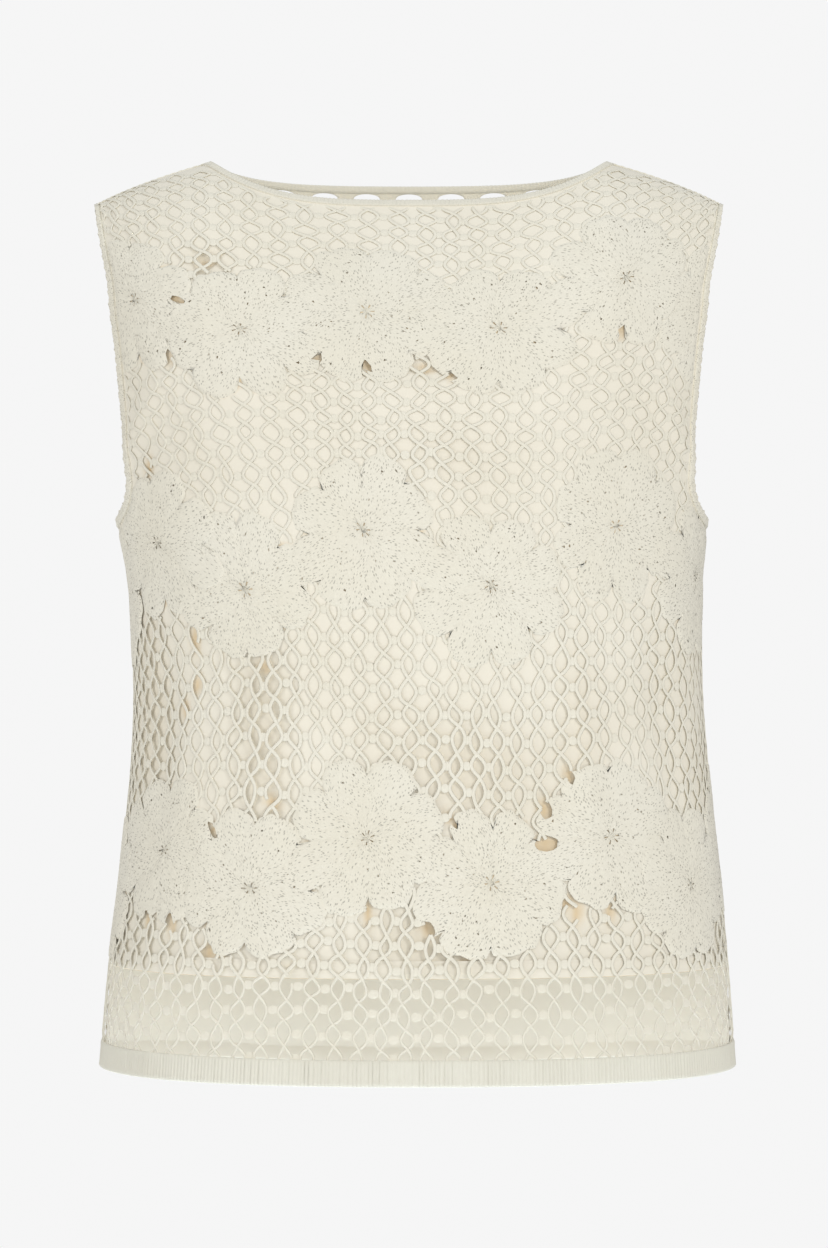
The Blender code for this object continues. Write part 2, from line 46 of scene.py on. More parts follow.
# Sizes that repeat the solids' own
LENGTH = 0.567
NECK_HALF = 0.1245
TIP_HALF = 0.1980
SHOULDER_DROP = 0.0275
UNDERARM = -0.2255
FRONT_NECK_DROP = 0.0293
BACK_NECK_DROP = 0.0078
NECKBAND = 0.005
ARMHOLE_BAND = 0.006
HEM_BAND = 0.016
BACK_DROP = 0.014
LINING_SHORT = {"front": 0.064, "back": 0.001}

# Body sections. Columns: level, half width, front depth, back depth, sideways shift
SECTIONS = (
    (0.030, 0.2120, 0.136, 0.106, 0.0000),
    (-0.060, 0.2030, 0.136, 0.106, 0.0000),
    (-0.120, 0.1950, 0.137, 0.108, 0.0000),
    (-0.190, 0.1875, 0.138, 0.110, 0.0005),
    (-0.2255, 0.1855, 0.138, 0.110, 0.0020),
    (-0.254, 0.1812, 0.137, 0.108, 0.0035),
    (-0.301, 0.1790, 0.131, 0.104, 0.0050),
    (-0.339, 0.1789, 0.127, 0.101, 0.0060),
    (-0.377, 0.1812, 0.125, 0.101, 0.0067),
    (-0.436, 0.1874, 0.126, 0.105, 0.0070),
    (-0.512, 0.1953, 0.130, 0.111, 0.0060),
    (-0.567, 0.1997, 0.133, 0.115, 0.0055),
)
SQUARENESS = 2.3
ROLLS = {
    "front": (-0.200, 0.012, (1.5, 1.3), (1.8, 1.8)),
    "back": (-0.150, 0.030, (2.0, 2.0), (2.0, 2.0)),
}
NECK_POWERS = {"front": 3.6, "back": 5.0}
# Armhole edge as seen from the front. Columns: level, half width
ARMHOLE = (
    (-0.0485, 0.1934),
    (-0.0660, 0.1896),
    (-0.0780, 0.1870),
    (-0.0988, 0.1846),
    (-0.1197, 0.1814),
    (-0.1424, 0.1789),
    (-0.1625, 0.1768),
    (-0.1800, 0.1747),
    (-0.1940, 0.1738),
    (-0.2060, 0.1742),
    (-0.2150, 0.1768),
    (-0.2215, 0.1812),
)
# Soft folds. Columns: side, start across and down, end across and down, half width, height
FOLDS = (
    ("front", -0.092, 0.305, -0.094, 0.420, 0.013, 0.0030),
    ("front", 0.099, 0.300, 0.104, 0.425, 0.013, 0.0032),
    ("front", -0.168, 0.300, -0.176, 0.420, 0.014, -0.0030),
    ("front", 0.158, 0.300, 0.172, 0.430, 0.014, -0.0028),
    ("front", -0.200, 0.200, -0.150, 0.140, 0.010, 0.0028),
    ("front", 0.203, 0.205, 0.150, 0.145, 0.010, 0.0028),
    ("front", -0.060, 0.136, 0.045, 0.133, 0.009, -0.0018),
    ("back", -0.060, 0.270, -0.066, 0.410, 0.015, 0.0032),
    ("back", 0.052, 0.280, 0.060, 0.400, 0.014, 0.0030),
    ("back", -0.135, 0.250, -0.142, 0.400, 0.014, -0.0028),
    ("back", 0.130, 0.260, 0.140, 0.420, 0.014, -0.0030),
    ("back", -0.180, 0.190, -0.120, 0.150, 0.011, 0.0026),
    ("back", 0.182, 0.188, 0.125, 0.150, 0.011, 0.0026),
)

# Lace repeat
# Pitches of the net's units. Columns: down, pitch across, pitch down, half width of the
# small cells to the strands' middles
UNITS = (
    (-0.02, 0.0160, 0.0125, 0.0053),
    (0.10, 0.0155, 0.0120, 0.0052),
    (0.17, 0.0149, 0.0113, 0.0050),
    (0.22, 0.0144, 0.0128, 0.0048),
    (0.30, 0.0138, 0.0155, 0.0045),
    (0.40, 0.0137, 0.0158, 0.0043),
    (0.47, 0.0137, 0.0142, 0.0040),
    (0.60, 0.0137, 0.0139, 0.0037),
)
CHAINS = 18               # each side of the middle
ROWS_OF_UNITS = 46
STRAND_STEPS = 8          # stations to a unit
# Section of a strand. Columns: sideways, out, in metres
STRAND = ((-0.0011, -0.00018), (-0.0007, 0.00012), (0.0007, 0.00012), (0.0011, -0.00018),
          (0.0, -0.0003))
DOT_DOWN = 0.0028
DOT_RISE = 0.0003
DOT_LEVEL = -0.00035       # rim of the dots, below the middles of the strands
UNEVEN = 0.0015           # how far the net strays from its even lattice
UNEVEN_UNITS = 0.0007     # and how far single units of it do
# Middles of the flowers. Columns: across, down; the back repeats the rows evenly
FRONT_FLOWERS = (
    (-0.243, 0.120), (-0.170, 0.091), (-0.097, 0.111), (-0.024, 0.096), (0.052, 0.110),
    (0.124, 0.074), (0.196, 0.096),
    (-0.239, 0.272), (-0.167, 0.243), (-0.108, 0.268), (-0.029, 0.237), (0.045, 0.271),
    (0.128, 0.232), (0.205, 0.262),
    (-0.243, 0.455), (-0.169, 0.429), (-0.100, 0.448), (-0.031, 0.419), (0.043, 0.446),
    (0.116, 0.419), (0.177, 0.448), (0.250, 0.425),
)
BACK_ROWS = (0.094, 0.254, 0.434)
BACK_PITCH = 0.074
BACK_ZIGZAG = 0.0140
FLOWER_RADIUS = 0.0470
# Wide gaps beside the front's flowers. Columns: across, down, half length, half width
# in millimetres, lean in degrees
FRONT_GAPS = (
    (0.083, 0.433, 5.9, 3.6, 175), (0.079, 0.404, 4.8, 3.0, 81), (-0.074, 0.503, 4.4, 3.3, 120),
    (-0.145, 0.300, 5.8, 2.3, 83), (-0.118, 0.496, 4.6, 2.7, 79), (0.093, 0.464, 4.8, 2.5, 99),
    (-0.125, 0.489, 4.3, 3.0, 76), (0.005, 0.473, 4.9, 2.7, 62), (0.087, 0.458, 3.8, 2.8, 125),
    (-0.159, 0.463, 5.4, 2.0, 84), (-0.090, 0.398, 4.1, 2.5, 45), (-0.145, 0.328, 3.8, 2.4, 105),
    (0.114, 0.464, 4.4, 2.1, 93), (-0.169, 0.196, 4.3, 2.2, 105), (-0.156, 0.343, 4.1, 2.4, 88),
    (-0.030, 0.463, 5.5, 1.7, 84), (0.013, 0.435, 5.8, 1.8, 31), (-0.096, 0.317, 3.7, 2.2, 37),
    (0.093, 0.383, 4.3, 2.0, 72), (-0.141, 0.438, 5.7, 1.5, 25), (-0.176, 0.471, 4.8, 1.6, 92),
    (0.120, 0.472, 4.4, 1.8, 58), (-0.127, 0.417, 5.2, 1.5, 59), (0.006, 0.459, 3.9, 2.3, 33),
    (0.011, 0.481, 3.3, 2.3, 41), (-0.129, 0.098, 4.5, 1.7, 22), (0.129, 0.106, 3.4, 2.1, 67),
    (-0.069, 0.495, 3.8, 1.8, 76), (0.025, 0.414, 5.0, 1.5, 54), (0.026, 0.494, 3.3, 2.0, 92),
    (-0.021, 0.130, 3.5, 1.8, 61), (-0.116, 0.064, 3.5, 1.8, 13), (-0.146, 0.127, 3.8, 1.6, 88),
    (0.010, 0.134, 4.0, 1.6, 10), (-0.050, 0.127, 3.5, 1.5, 150), (0.036, 0.131, 3.5, 1.6, 30),
)
# Where the lining hangs well off the lace. Columns: side, start across and down, end
# across and down, half width, depth
LOOSE = (
    ("front", -0.095, 0.300, -0.097, 0.430, 0.016, 0.0021),
    ("front", 0.098, 0.290, 0.104, 0.430, 0.015, 0.0010),
    ("front", -0.010, 0.365, 0.060, 0.395, 0.034, 0.0018),
    ("front", -0.020, 0.195, 0.050, 0.190, 0.020, 0.0008),
    ("front", -0.190, 0.240, -0.185, 0.440, 0.022, 0.0015),
    ("front", 0.160, 0.280, 0.185, 0.400, 0.020, 0.0005),
    ("front", -0.010, 0.462, 0.030, 0.490, 0.022, 0.0022),
    ("front", -0.060, 0.128, 0.050, 0.130, 0.010, 0.0010),
    ("front", -0.120, 0.060, -0.112, 0.068, 0.012, 0.0030),
    ("back", -0.060, 0.270, -0.066, 0.410, 0.016, 0.0034),
    ("back", 0.052, 0.280, 0.060, 0.400, 0.015, 0.0034),
    ("back", -0.120, 0.460, 0.110, 0.470, 0.020, 0.0020),
)
PETALS = 8
PETAL_SPOKES = 16
CLEFT = 0.83
EYELET_PITCH = 0.0243
EYELET_WIDTH = 0.0154
EYELET_HEIGHT = 0.0092
EYELET_DROP = 0.0053
EYELET_STRIP = 0.0165     # neck edge down to where the net starts at the back

# Depths below the face of the lace
LINING_DEPTH = 0.00038
SEWN_DEPTH = 0.0009       # depth of the lining where it is sewn in
DEPTH_IN_BAND = 0.0023    # and behind the hem band
LINING_INSET = 0.0025
LINING_GRID = 0.0034
LINING_GRID_EDGE = 0.0013
LOOSE_SHADE = 62          # shade of the lining for each metre that it hangs loose
FLOWER_SHADE = 0.85       # and under the flowers
# Turned hem of the lining. Columns: distance from its edge, out from the cloth
TURNED_HEM = ((-0.0110, 0.0001), (-0.0105, 0.0003), (-0.0096, -0.00015), (-0.0088, 0.0003),
              (-0.0040, 0.0004), (-0.0006, 0.0003), (0.0, -0.0003), (-0.0005, -0.0004),
              (-0.0012, -0.0004), (-0.0100, -0.0003), (-0.0106, -0.0001))
HEADING_GRID = 0.0016
HEADING_GRID_EDGE = 0.0006
EYELETS = 9
GAP_UNIT = 0.00125        # metres for each unit of the wide gaps' half sizes
GAPS_APART = 1.9          # least distance between gaps, in their half sizes
STRANDS_START = 0.965     # share of a flower's reach from which strands are kept
STRANDS_IN_GAP = 0.48     # how far strands and petals go into a gap
PETALS_IN_GAP = 0.55
UNDER_BAND = 0.0015       # how far lace goes in under a band
BAND_DIP = 0.0011         # how far it dips for that
BAND_DIP_WIDTH = 0.006
FLOWER_DIP = 1.3          # flowers dip more, by this factor
NECK_STEPS = 900
ARM_STEPS = 260
NECK_RIBS = 0.55          # relief of the neckband's ribs against the hem's
CORD_HALF_WIDTH = 0.0009
CORD_HALF_HEIGHT = 0.0007
BAND_OUT = 0.0003
BAND_IN = 0.0016
RIB_PITCH = 0.0022
RIB_RISE = 0.0010

NECK_STATIONS = 26
TABLE_COLUMNS = 161
TABLE_ROWS = 241

# Camera, from the photo's outline: 2.4 m in front of the shoulders
CAMERA_DISTANCE = 2.4
CAMERA_HEIGHT = -0.291
CAMERA_ASIDE = 0.0033
CAMERA_LENS = 109.9


def smooth_column(number, level):
    """Column of SECTIONS at a level, on a smooth curve through its rows."""
    rows = np.array(SECTIONS)[::-1]
    levels, values = rows[:, 0], rows[:, number]
    slopes = np.gradient(values, levels)
    level = np.clip(level, levels[0], levels[-1])
    index = np.clip(np.searchsorted(levels, level) - 1, 0, len(levels) - 2)
    step = levels[index + 1] - levels[index]
    t = (level - levels[index]) / step
    start = (1 + 2 * t) * (1 - t) ** 2 * values[index] + t * (1 - t) ** 2 * step * slopes[index]
    end = t * t * (3 - 2 * t) * values[index + 1] - t * t * (1 - t) * step * slopes[index + 1]
    return start + end


def shoulder_height(x, centre_height):
    """Height of the shoulder line over x; inside the neck it is the unseen top."""
    x = np.abs(x)
    share = np.clip((x - NECK_HALF) / (TIP_HALF - NECK_HALF), 0.0, 1.4)
    outside = -SHOULDER_DROP * (0.8 * share + 0.2 * share ** 3)
    return outside + centre_height * np.clip(1 - (x / NECK_HALF) ** 2, 0.0, 1.0)


def section_angles():
    """Angles round a quarter section against the share of its length."""
    power = 2 / SQUARENESS
    angles = np.linspace(0, math.pi / 2, 600)
    x = 0.184 * np.sin(angles) ** power
    y = 0.125 * np.cos(angles) ** power
    lengths = np.concatenate(([0.0], np.cumsum(np.hypot(np.diff(x), np.diff(y)))))
    return angles, lengths / lengths[-1], lengths[-1]


ANGLES, SHARES, HALF = section_angles()


def smooth_step(value, low, high):
    """Soft step from 0 at low to 1 at high."""
    t = np.clip((value - low) / (high - low), 0.0, 1.0)
    return t * t * (3 - 2 * t)


def chance(*numbers):
    """Even number from 0 to 1 that depends on whole numbers alone."""
    total = 0.0
    for number, weight in zip(numbers, (12.9898, 78.233, 37.719, 91.17)):
        total = total + np.asarray(number, dtype=float) * weight
    return np.mod(np.sin(total) * 43758.5453, 1.0)


def ridge(places, start, end, width):
    """Share of a soft fold's height at places: full along it, fading past its ends."""
    px, py = places[:, 0] - start[0], places[:, 1] - start[1]
    dx, dy = end[0] - start[0], end[1] - start[1]
    length = math.hypot(dx, dy)
    along = (px * dx + py * dy) / length
    aside = (px * dy - py * dx) / length
    past = np.maximum(0.0, np.maximum(-along, along - length))
    middle = np.sin(math.pi * np.clip(along / length, 0.0, 1.0))
    return np.exp(-(aside / width) ** 2 - (past / width) ** 2) * (0.35 + 0.65 * middle)


def reach(places, line):
    """Distance from each place to an open line."""
    result = np.empty(len(places))
    start, edge = line[None, :-1], np.diff(line, axis=0)[None]
    size = (edge ** 2).sum(axis=2)
    for first in range(0, len(places), 20000):
        chunk = places[first:first + 20000, None, :]
        share = ((chunk - start) * edge).sum(axis=2) / size
        nearest = start + np.clip(share, 0, 1)[:, :, None] * edge
        gaps = ((chunk - nearest) ** 2).sum(axis=2)
        result[first:first + 20000] = np.sqrt(gaps.min(axis=1))
    return result


def inside(places, ring):
    """Which places lie inside a closed ring, by the even-odd rule."""
    result = np.empty(len(places), dtype=bool)
    ax, ay = ring[:, 0], ring[:, 1]
    bx, by = np.roll(ax, -1), np.roll(ay, -1)
    height = np.where(by == ay, 1.0, by - ay)
    for first in range(0, len(places), 20000):
        x = places[first:first + 20000, :1]
        y = places[first:first + 20000, 1:]
        spans = (ay > y) != (by > y)
        crossing = x < (bx - ax) * (y - ay) / height + ax
        result[first:first + 20000] = (spans & crossing).sum(axis=1) % 2 == 1
    return result


def resample(points, steps):
    """Even stations along a smooth line through points."""
    points = np.array(points)
    run = np.concatenate(([0.0], np.cumsum(np.linalg.norm(np.diff(points, axis=0), axis=1))))
    slopes = np.gradient(points, run, axis=0)
    place = np.linspace(0, run[-1], steps + 1)
    i = np.clip(np.searchsorted(run, place, side="right") - 1, 0, len(run) - 2)
    step = (run[i + 1] - run[i])[:, None]
    t = (place[:, None] - run[i][:, None]) / step
    start = (1 + 2 * t) * (1 - t) ** 2 * points[i] + t * (1 - t) ** 2 * step * slopes[i]
    end = t * t * (3 - 2 * t) * points[i + 1] - t * t * (1 - t) * step * slopes[i + 1]
    return start + end


class Panel:
    """Front or back of the top: metres across and down the cloth to points in space."""

    def __init__(self, side):
        self.side = side
        self.sign = -1.0 if side == "front" else 1.0
        self.build_table()
        self.neck = self.neck_line()
        self.arms = {sign: self.arm_line(sign) for sign in (-1, 1)}
        self.ring = self.outline(0.0, 0.0, 0.0)

    def depth(self, x, angle, level):
        """Y of the sheet where its column passes a level."""
        start, centre_height, centre_powers, shoulder_powers = ROLLS[self.side]
        top = shoulder_height(x, centre_height)
        t = np.clip((top - level) / (top - start), 0.0, 1.0)
        mix = np.clip(np.abs(x) / NECK_HALF, 0.0, 1.0) ** 2
        first = centre_powers[0] + mix * (shoulder_powers[0] - centre_powers[0])
        second = centre_powers[1] + mix * (shoulder_powers[1] - centre_powers[1])
        roll = (1 - (1 - t) ** first) ** (1 / second)
        column = 2 if self.side == "front" else 3
        return self.sign * smooth_column(column, level) * np.cos(angle) ** (2 / SQUARENESS) * roll

    def hem(self, across):
        """Down value of the hem edge."""
        drop = BACK_DROP if self.side == "back" else 0.0
        return LENGTH + drop * (1 - (np.asarray(across) / HALF) ** 2) ** 2

    def column(self, share):
        """Points down one column, from the shoulder line to the hem."""
        angle = np.interp(abs(share), SHARES, ANGLES)
        spread = math.copysign(math.sin(angle) ** (2 / SQUARENESS), share)
        centre_height = ROLLS[self.side][1]
        top = 0.0
        for _ in range(12):
            x = smooth_column(1, top) * abs(spread)
            top = float(shoulder_height(x, centre_height))
        bottom = float(self.hem(share * HALF))
        levels = top + (-bottom - top) * np.linspace(0, 1, 900) ** 2
        across = smooth_column(1, levels) * spread
        y = self.depth(across, angle, levels)
        y[0] = 0.0 if abs(x) >= NECK_HALF else y[0]
        return np.stack((across + smooth_column(4, levels), y, levels), axis=1)

    def build_table(self):
        """Points and outward directions at even lengths down each column."""
        self.shares = np.linspace(-1, 1, TABLE_COLUMNS)
        self.rows = np.linspace(0, 1, TABLE_ROWS)
        self.tops = np.zeros(TABLE_COLUMNS)
        self.points = np.zeros((TABLE_COLUMNS, TABLE_ROWS, 3))
        for i, share in enumerate(self.shares):
            line = self.column(share)
            steps = np.linalg.norm(np.diff(line, axis=0), axis=1)
            run = np.concatenate(([0.0], np.cumsum(steps)))
            at_underarm = np.interp(-UNDERARM, -line[:, 2], run)
            down = np.where(line[:, 2] < UNDERARM, -line[:, 2], run - at_underarm - UNDERARM)
            self.tops[i] = down[0]
            wanted = down[0] + self.rows * (self.hem(share * HALF) - down[0])
            for axis in range(3):
                self.points[i, :, axis] = np.interp(wanted, down, line[:, axis])
        over = np.gradient(self.points, axis=0)
        along = np.gradient(self.points, axis=1)
        normals = np.cross(along, over) * -self.sign
        normals[:, 0, 1] = 0.0
        low = -UNDERARM - 0.002
        for i in (0, -1):
            down = self.tops[i] + self.rows * (LENGTH - self.tops[i])
            normals[i, down > low, 1] = 0.0
        self.normals = normals / np.linalg.norm(normals, axis=2)[:, :, None]

    def top(self, across):
        """Down value of the shoulder line."""
        return np.interp(np.asarray(across) / HALF, self.shares, self.tops)

    def look_up(self, places):
        """Bare points and outward directions at places."""
        place = (np.clip(places[:, 0] / HALF, -1, 1) + 1) / 2 * (TABLE_COLUMNS - 1)
        i = np.clip(place.astype(int), 0, TABLE_COLUMNS - 2)
        a = (place - i)[:, None]
        top = self.tops[i] * (1 - a[:, 0]) + self.tops[i + 1] * a[:, 0]
        bottom = self.hem(np.clip(places[:, 0], -HALF, HALF))
        place = np.clip((places[:, 1] - top) / (bottom - top), 0, 1) * (TABLE_ROWS - 1)
        k = np.clip(place.astype(int), 0, TABLE_ROWS - 2)
        b = (place - k)[:, None]
        found = []
        for table in (self.points, self.normals):
            near = table[i, k] * (1 - b) + table[i, k + 1] * b
            far = table[i + 1, k] * (1 - b) + table[i + 1, k + 1] * b
            found.append(near * (1 - a) + far * a)
        found[1] /= np.linalg.norm(found[1], axis=1)[:, None]
        return found

    def fold(self, places):
        """Height of the soft folds."""
        total = np.zeros(len(places))
        for side, x0, v0, x1, v1, width, height in FOLDS:
            if side == self.side:
                total += height * ridge(places, (x0, v0), (x1, v1), width)
        return total * (1 - np.clip(np.abs(places[:, 0]) / HALF, 0, 1) ** 8)

    def at(self, places, out):
        """Points of the folded sheet, moved out along its normals."""
        bare, normals = self.look_up(places)
        return bare + normals * (out + self.fold(places))[:, None]

    def find(self, x, level):
        """Across and down of the point seen at x on a level."""
        share = min(abs(x) / float(smooth_column(1, level)), 1.0)
        angle = math.asin(share ** (SQUARENESS / 2))
        share = math.copysign(float(np.interp(angle, ANGLES, SHARES)), x)
        place = (share + 1) / 2 * (TABLE_COLUMNS - 1)
        i = min(int(place), TABLE_COLUMNS - 2)
        a = place - i
        levels = self.points[i, :, 2] * (1 - a) + self.points[i + 1, :, 2] * a
        top = self.tops[i] * (1 - a) + self.tops[i + 1] * a
        row = float(np.interp(-level, -levels, self.rows))
        return np.array((share * HALF, top + row * (self.hem(share * HALF) - top)))

    def slope(self, across, sign):
        """Direction along the shoulder seam, outward for sign 1 on the right."""
        step = 0.002 * sign
        return (step, float(self.top(across + step) - self.top(across)))

    def neck_line(self, distance=0.0, steps=130):
        """Neck edge from left to right, moved into the cloth."""
        drop = FRONT_NECK_DROP if self.side == "front" else BACK_NECK_DROP
        stations = []
        for place in np.linspace(-1, 1, NECK_STATIONS + 1):
            x = NECK_HALF * math.sin(place * math.pi / 2)
            level = -drop * (1 - abs(x / NECK_HALF) ** NECK_POWERS[self.side])
            stations.append(self.find(x, level))
        line = resample(stations, steps)
        line[0, 1] = self.top(line[0, 0])
        line[-1, 1] = self.top(line[-1, 0])
        left, right = self.slope(line[0, 0], -1), self.slope(line[-1, 0], 1)
        return inset(line, distance, 1, left, right)

    def arm_line(self, sign, distance=0.0, steps=90):
        """Armhole edge from the shoulder tip to the underarm, moved into the cloth."""
        stations = [self.find(sign * TIP_HALF, -SHOULDER_DROP)]
        stations[0][1] = self.top(stations[0][0])
        stations += [self.find(sign * half, level) for level, half in ARMHOLE]
        stations.append(np.array((sign * HALF, -UNDERARM)))
        line = resample(stations, steps)
        return inset(line, distance, sign, self.slope(line[0, 0], -sign), (0, 1))

    def outline(self, neck, arm, above):
        """Closed outline: hem, right side, armhole, shoulder, neck and back down."""
        across = np.linspace(-HALF, HALF, 80)
        hem = np.stack((across, self.hem(across) - above), axis=1)
        neck_edge = self.neck_line(neck)
        left_arm, right_arm = self.arm_line(-1, arm), self.arm_line(1, arm)
        for edge in (left_arm, right_arm):
            edge[-1, 0] = math.copysign(HALF, edge[-1, 0])
            edge[0, 1] = self.top(edge[0, 0])
        for end in (0, -1):
            neck_edge[end, 1] = self.top(neck_edge[end, 0])
        right_side = np.linspace(hem[-1], right_arm[-1], 60)[1:-1]
        left_side = np.linspace(left_arm[-1], hem[0], 60)[1:-1]
        shoulders = []
        for start, end in ((right_arm[0, 0], neck_edge[-1, 0]), (neck_edge[0, 0], left_arm[0, 0])):
            steps = np.linspace(start, end, 16)[1:-1]
            shoulders.append(np.stack((steps, self.top(steps)), axis=1))
        return np.concatenate((hem, right_side, right_arm[::-1], shoulders[0], neck_edge[::-1],
                               shoulders[1], left_arm, left_side))

    def room(self, places):
        """Distance to the sewn edge of the nearest band, below zero under it."""
        arms = np.minimum(reach(places, self.arms[-1]), reach(places, self.arms[1]))
        value = np.minimum(reach(places, self.neck) - NECKBAND, arms - ARMHOLE_BAND)
        value = np.where(inside(places, self.ring), value, -1.0)
        return np.minimum(value, self.hem(places[:, 0]) - HEM_BAND - places[:, 1])


def inset(line, distance, turn, first, last):
    """Line moved sideways into the cloth; its ends slide along the seams they start on."""
    if not distance:
        return line
    tangents = np.gradient(line, axis=0)
    tangents /= np.linalg.norm(tangents, axis=1)[:, None]
    into = np.stack((-tangents[:, 1], tangents[:, 0]), axis=1) * turn
    moved = line + into * distance
    for index, seam in ((0, first), (-1, last)):
        seam = np.array(seam) / np.linalg.norm(seam)
        moved[index] = line[index] + seam * distance / abs(float(seam @ into[index]))
    return moved


def unused_removed(points, faces):
    """Points that faces use, and the faces with their new numbers."""
    faces = np.asarray(faces)
    used = np.zeros(len(points), dtype=bool)
    used[faces.ravel()] = True
    numbers = np.cumsum(used) - 1
    return points[used], numbers[faces]


def add_piece(name, points, faces, material, node):
    """Mesh piece with smooth faces, standing for a node of the solids."""
    mesh = bpy.data.meshes.new(name)
    mesh.from_pydata(points.tolist(), [], faces if isinstance(faces, list) else faces.tolist())
    mesh.polygons.foreach_set("use_smooth", [True] * len(mesh.polygons))
    mesh.materials.append(material)
    mesh.update()
    thing = bpy.data.objects.new(name, mesh)
    bpy.context.scene.collection.objects.link(thing)
    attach(thing, "root")
    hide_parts(node)
    return thing


def set_shade(thing, values):
    """Store how much painted shade each point of a piece gets, for its material's colour."""
    shade = thing.data.attributes.new("shade", "FLOAT", "POINT")
    shade.data.foreach_set("value", np.asarray(values, dtype=np.float32).ravel())


def warp(places):
    """Small wander of the lace, so that its rows aren't ruled lines."""
    u, v = places[:, 0], places[:, 1]
    du = np.sin(41 * u + 17 * v + 1.3) + 0.7 * np.sin(23 * v - 61 * u + 0.4)
    dv = np.sin(37 * v - 29 * u + 2.1) + 0.7 * np.sin(53 * u + 31 * v + 5.0)
    near = np.sin(210 * u + 133 * v) + np.sin(171 * v - 238 * u + 2.0)
    below = np.sin(187 * v + 149 * u + 4.0) + np.sin(226 * u - 158 * v)
    return (places + UNEVEN * np.stack((du, dv), axis=1)
            + UNEVEN_UNITS * np.stack((near, below), axis=1))


def flower_centres(side):
    """Middles of every flower of a panel, those that an edge cuts included."""
    if side == "front":
        return np.array(FRONT_FLOWERS)
    numbers = np.arange(-4, 5)
    lifts = np.where(numbers % 2 == 0, -BACK_ZIGZAG, BACK_ZIGZAG)
    rows = [np.stack(((numbers + 0.3 * (row % 2)) * BACK_PITCH, down + lifts), axis=1)
            for row, down in enumerate(BACK_ROWS)]
    return np.concatenate(rows)


def petal_reach(angle, index):
    """Radius of a flower's outline in a direction, with clefts at the eighths."""
    turn = np.mod(angle / math.tau * PETALS, PETALS)
    petal, place = np.floor(turn), np.mod(turn, 1.0)
    rise = np.sin(math.pi * place)
    scallop = 0.014 * np.cos(3 * math.tau * place) * rise
    longer = 0.10 * (chance(petal, index, 5) - 0.5) * rise ** 0.6
    cleft = CLEFT - 0.10 * (chance(np.round(turn) % PETALS, index, 11) > 0.6)
    return FLOWER_RADIUS * (cleft + (1 - cleft) * rise ** 0.42 + scallop + longer)


def flower_share(places, centres):
    """How far out in the nearest flower each place is: 1 is the petals' outline."""
    result = np.full(len(places), 9.0)
    for index, centre in enumerate(centres):
        gap = places - centre
        angle = np.arctan2(-gap[:, 1], gap[:, 0])
        share = np.hypot(gap[:, 0], gap[:, 1]) / petal_reach(angle, index)
        result = np.minimum(result, share)
    return result


def wide_gaps(side, centres):
    """Open clefts beside flowers. Columns: across, down, half length, half width, lean."""
    if side == "front":
        rows = np.array(FRONT_GAPS)
        middles = rows[:, :2].copy()
        for _ in range(30):
            share = flower_share(middles, centres)
            across = flower_share(middles + (0.001, 0), centres) - share
            down = flower_share(middles + (0, 0.001), centres) - share
            step = 0.0007 * (share < 0.96) / (np.hypot(across, down) + 1e-9)
            middles += np.stack((across * step, down * step), axis=1)
        rows[:, :2] = middles
        rows[:, 2:4] *= GAP_UNIT
        rows[:, 4] = np.radians(rows[:, 4])
        return apart(rows[flower_share(middles, centres) > 0.90])
    rows = []
    for index, centre in enumerate(centres):
        for number in range(PETALS):
            angle = math.tau * number / PETALS
            if chance(number, index, 23) > 0.50 - 0.25 * math.sin(angle):
                continue
            lean = angle + 0.3 * (float(chance(number, index, 29)) - 0.5)
            out = np.array((math.cos(lean), -math.sin(lean)))
            size = 0.8 + 0.5 * float(chance(number, index, 41))
            rows.append((*(centre + 0.98 * FLOWER_RADIUS * out), 0.0055 * size, 0.0026 * size, -lean))
    return apart(np.array(rows))


def apart(gaps):
    """The gaps without those that run into an earlier one."""
    kept = []
    for gap in gaps:
        clear = True
        for other in kept:
            for one, two in ((gap, other), (other, gap)):
                along, aside = gap_frame(one[None, :2], two)
                clear = clear and math.hypot(along[0], aside[0]) > GAPS_APART
        if clear:
            kept.append(gap)
    return np.array(kept)


def gap_frame(places, gap):
    """Places measured along and across a wide gap, in units of its half sizes."""
    u, v, length, width, lean = gap
    offset = places - (u, v)
    out = np.array((math.cos(lean), math.sin(lean)))
    return offset @ out / length, offset @ np.array((-out[1], out[0])) / width


def gap_share(places, gaps, spread=1.0):
    """Share of a wide gap at places, 1 at its middle and 0.37 at its edge."""
    result = np.zeros(len(places))
    for gap in gaps:
        along, aside = gap_frame(places, gap)
        result = np.maximum(result, np.exp(-(along ** 2 + aside ** 2) / spread ** 2))
    return result


def cleared(places, gaps):
    """Places moved out to the rims of the gaps they lie in, and which of them moved."""
    places = places.copy()
    moved = np.zeros(len(places), dtype=bool)
    for gap in gaps:
        along, aside = gap_frame(places, gap)
        away = np.hypot(along, aside)
        within = away < 1.0
        grow = 1 / np.maximum(away[within], 0.05)
        u, v, length, width, lean = gap
        a, b = along[within] * grow * length, aside[within] * grow * width
        places[within, 0] = u + a * math.cos(lean) - b * math.sin(lean)
        places[within, 1] = v + a * math.sin(lean) + b * math.cos(lean)
        moved |= within
    return places, moved


def kept_in(flat, panel):
    """Places moved back inside the side seams and below the shoulder seams."""
    flat[:, 0] = np.clip(flat[:, 0], -HALF, HALF)
    flat[:, 1] = np.maximum(flat[:, 1], panel.top(flat[:, 0]))


def sink(room):
    """How far lace dips so that it passes under a band."""
    return -BAND_DIP * (1 - smooth_step(room, 0.0, BAND_DIP_WIDTH))


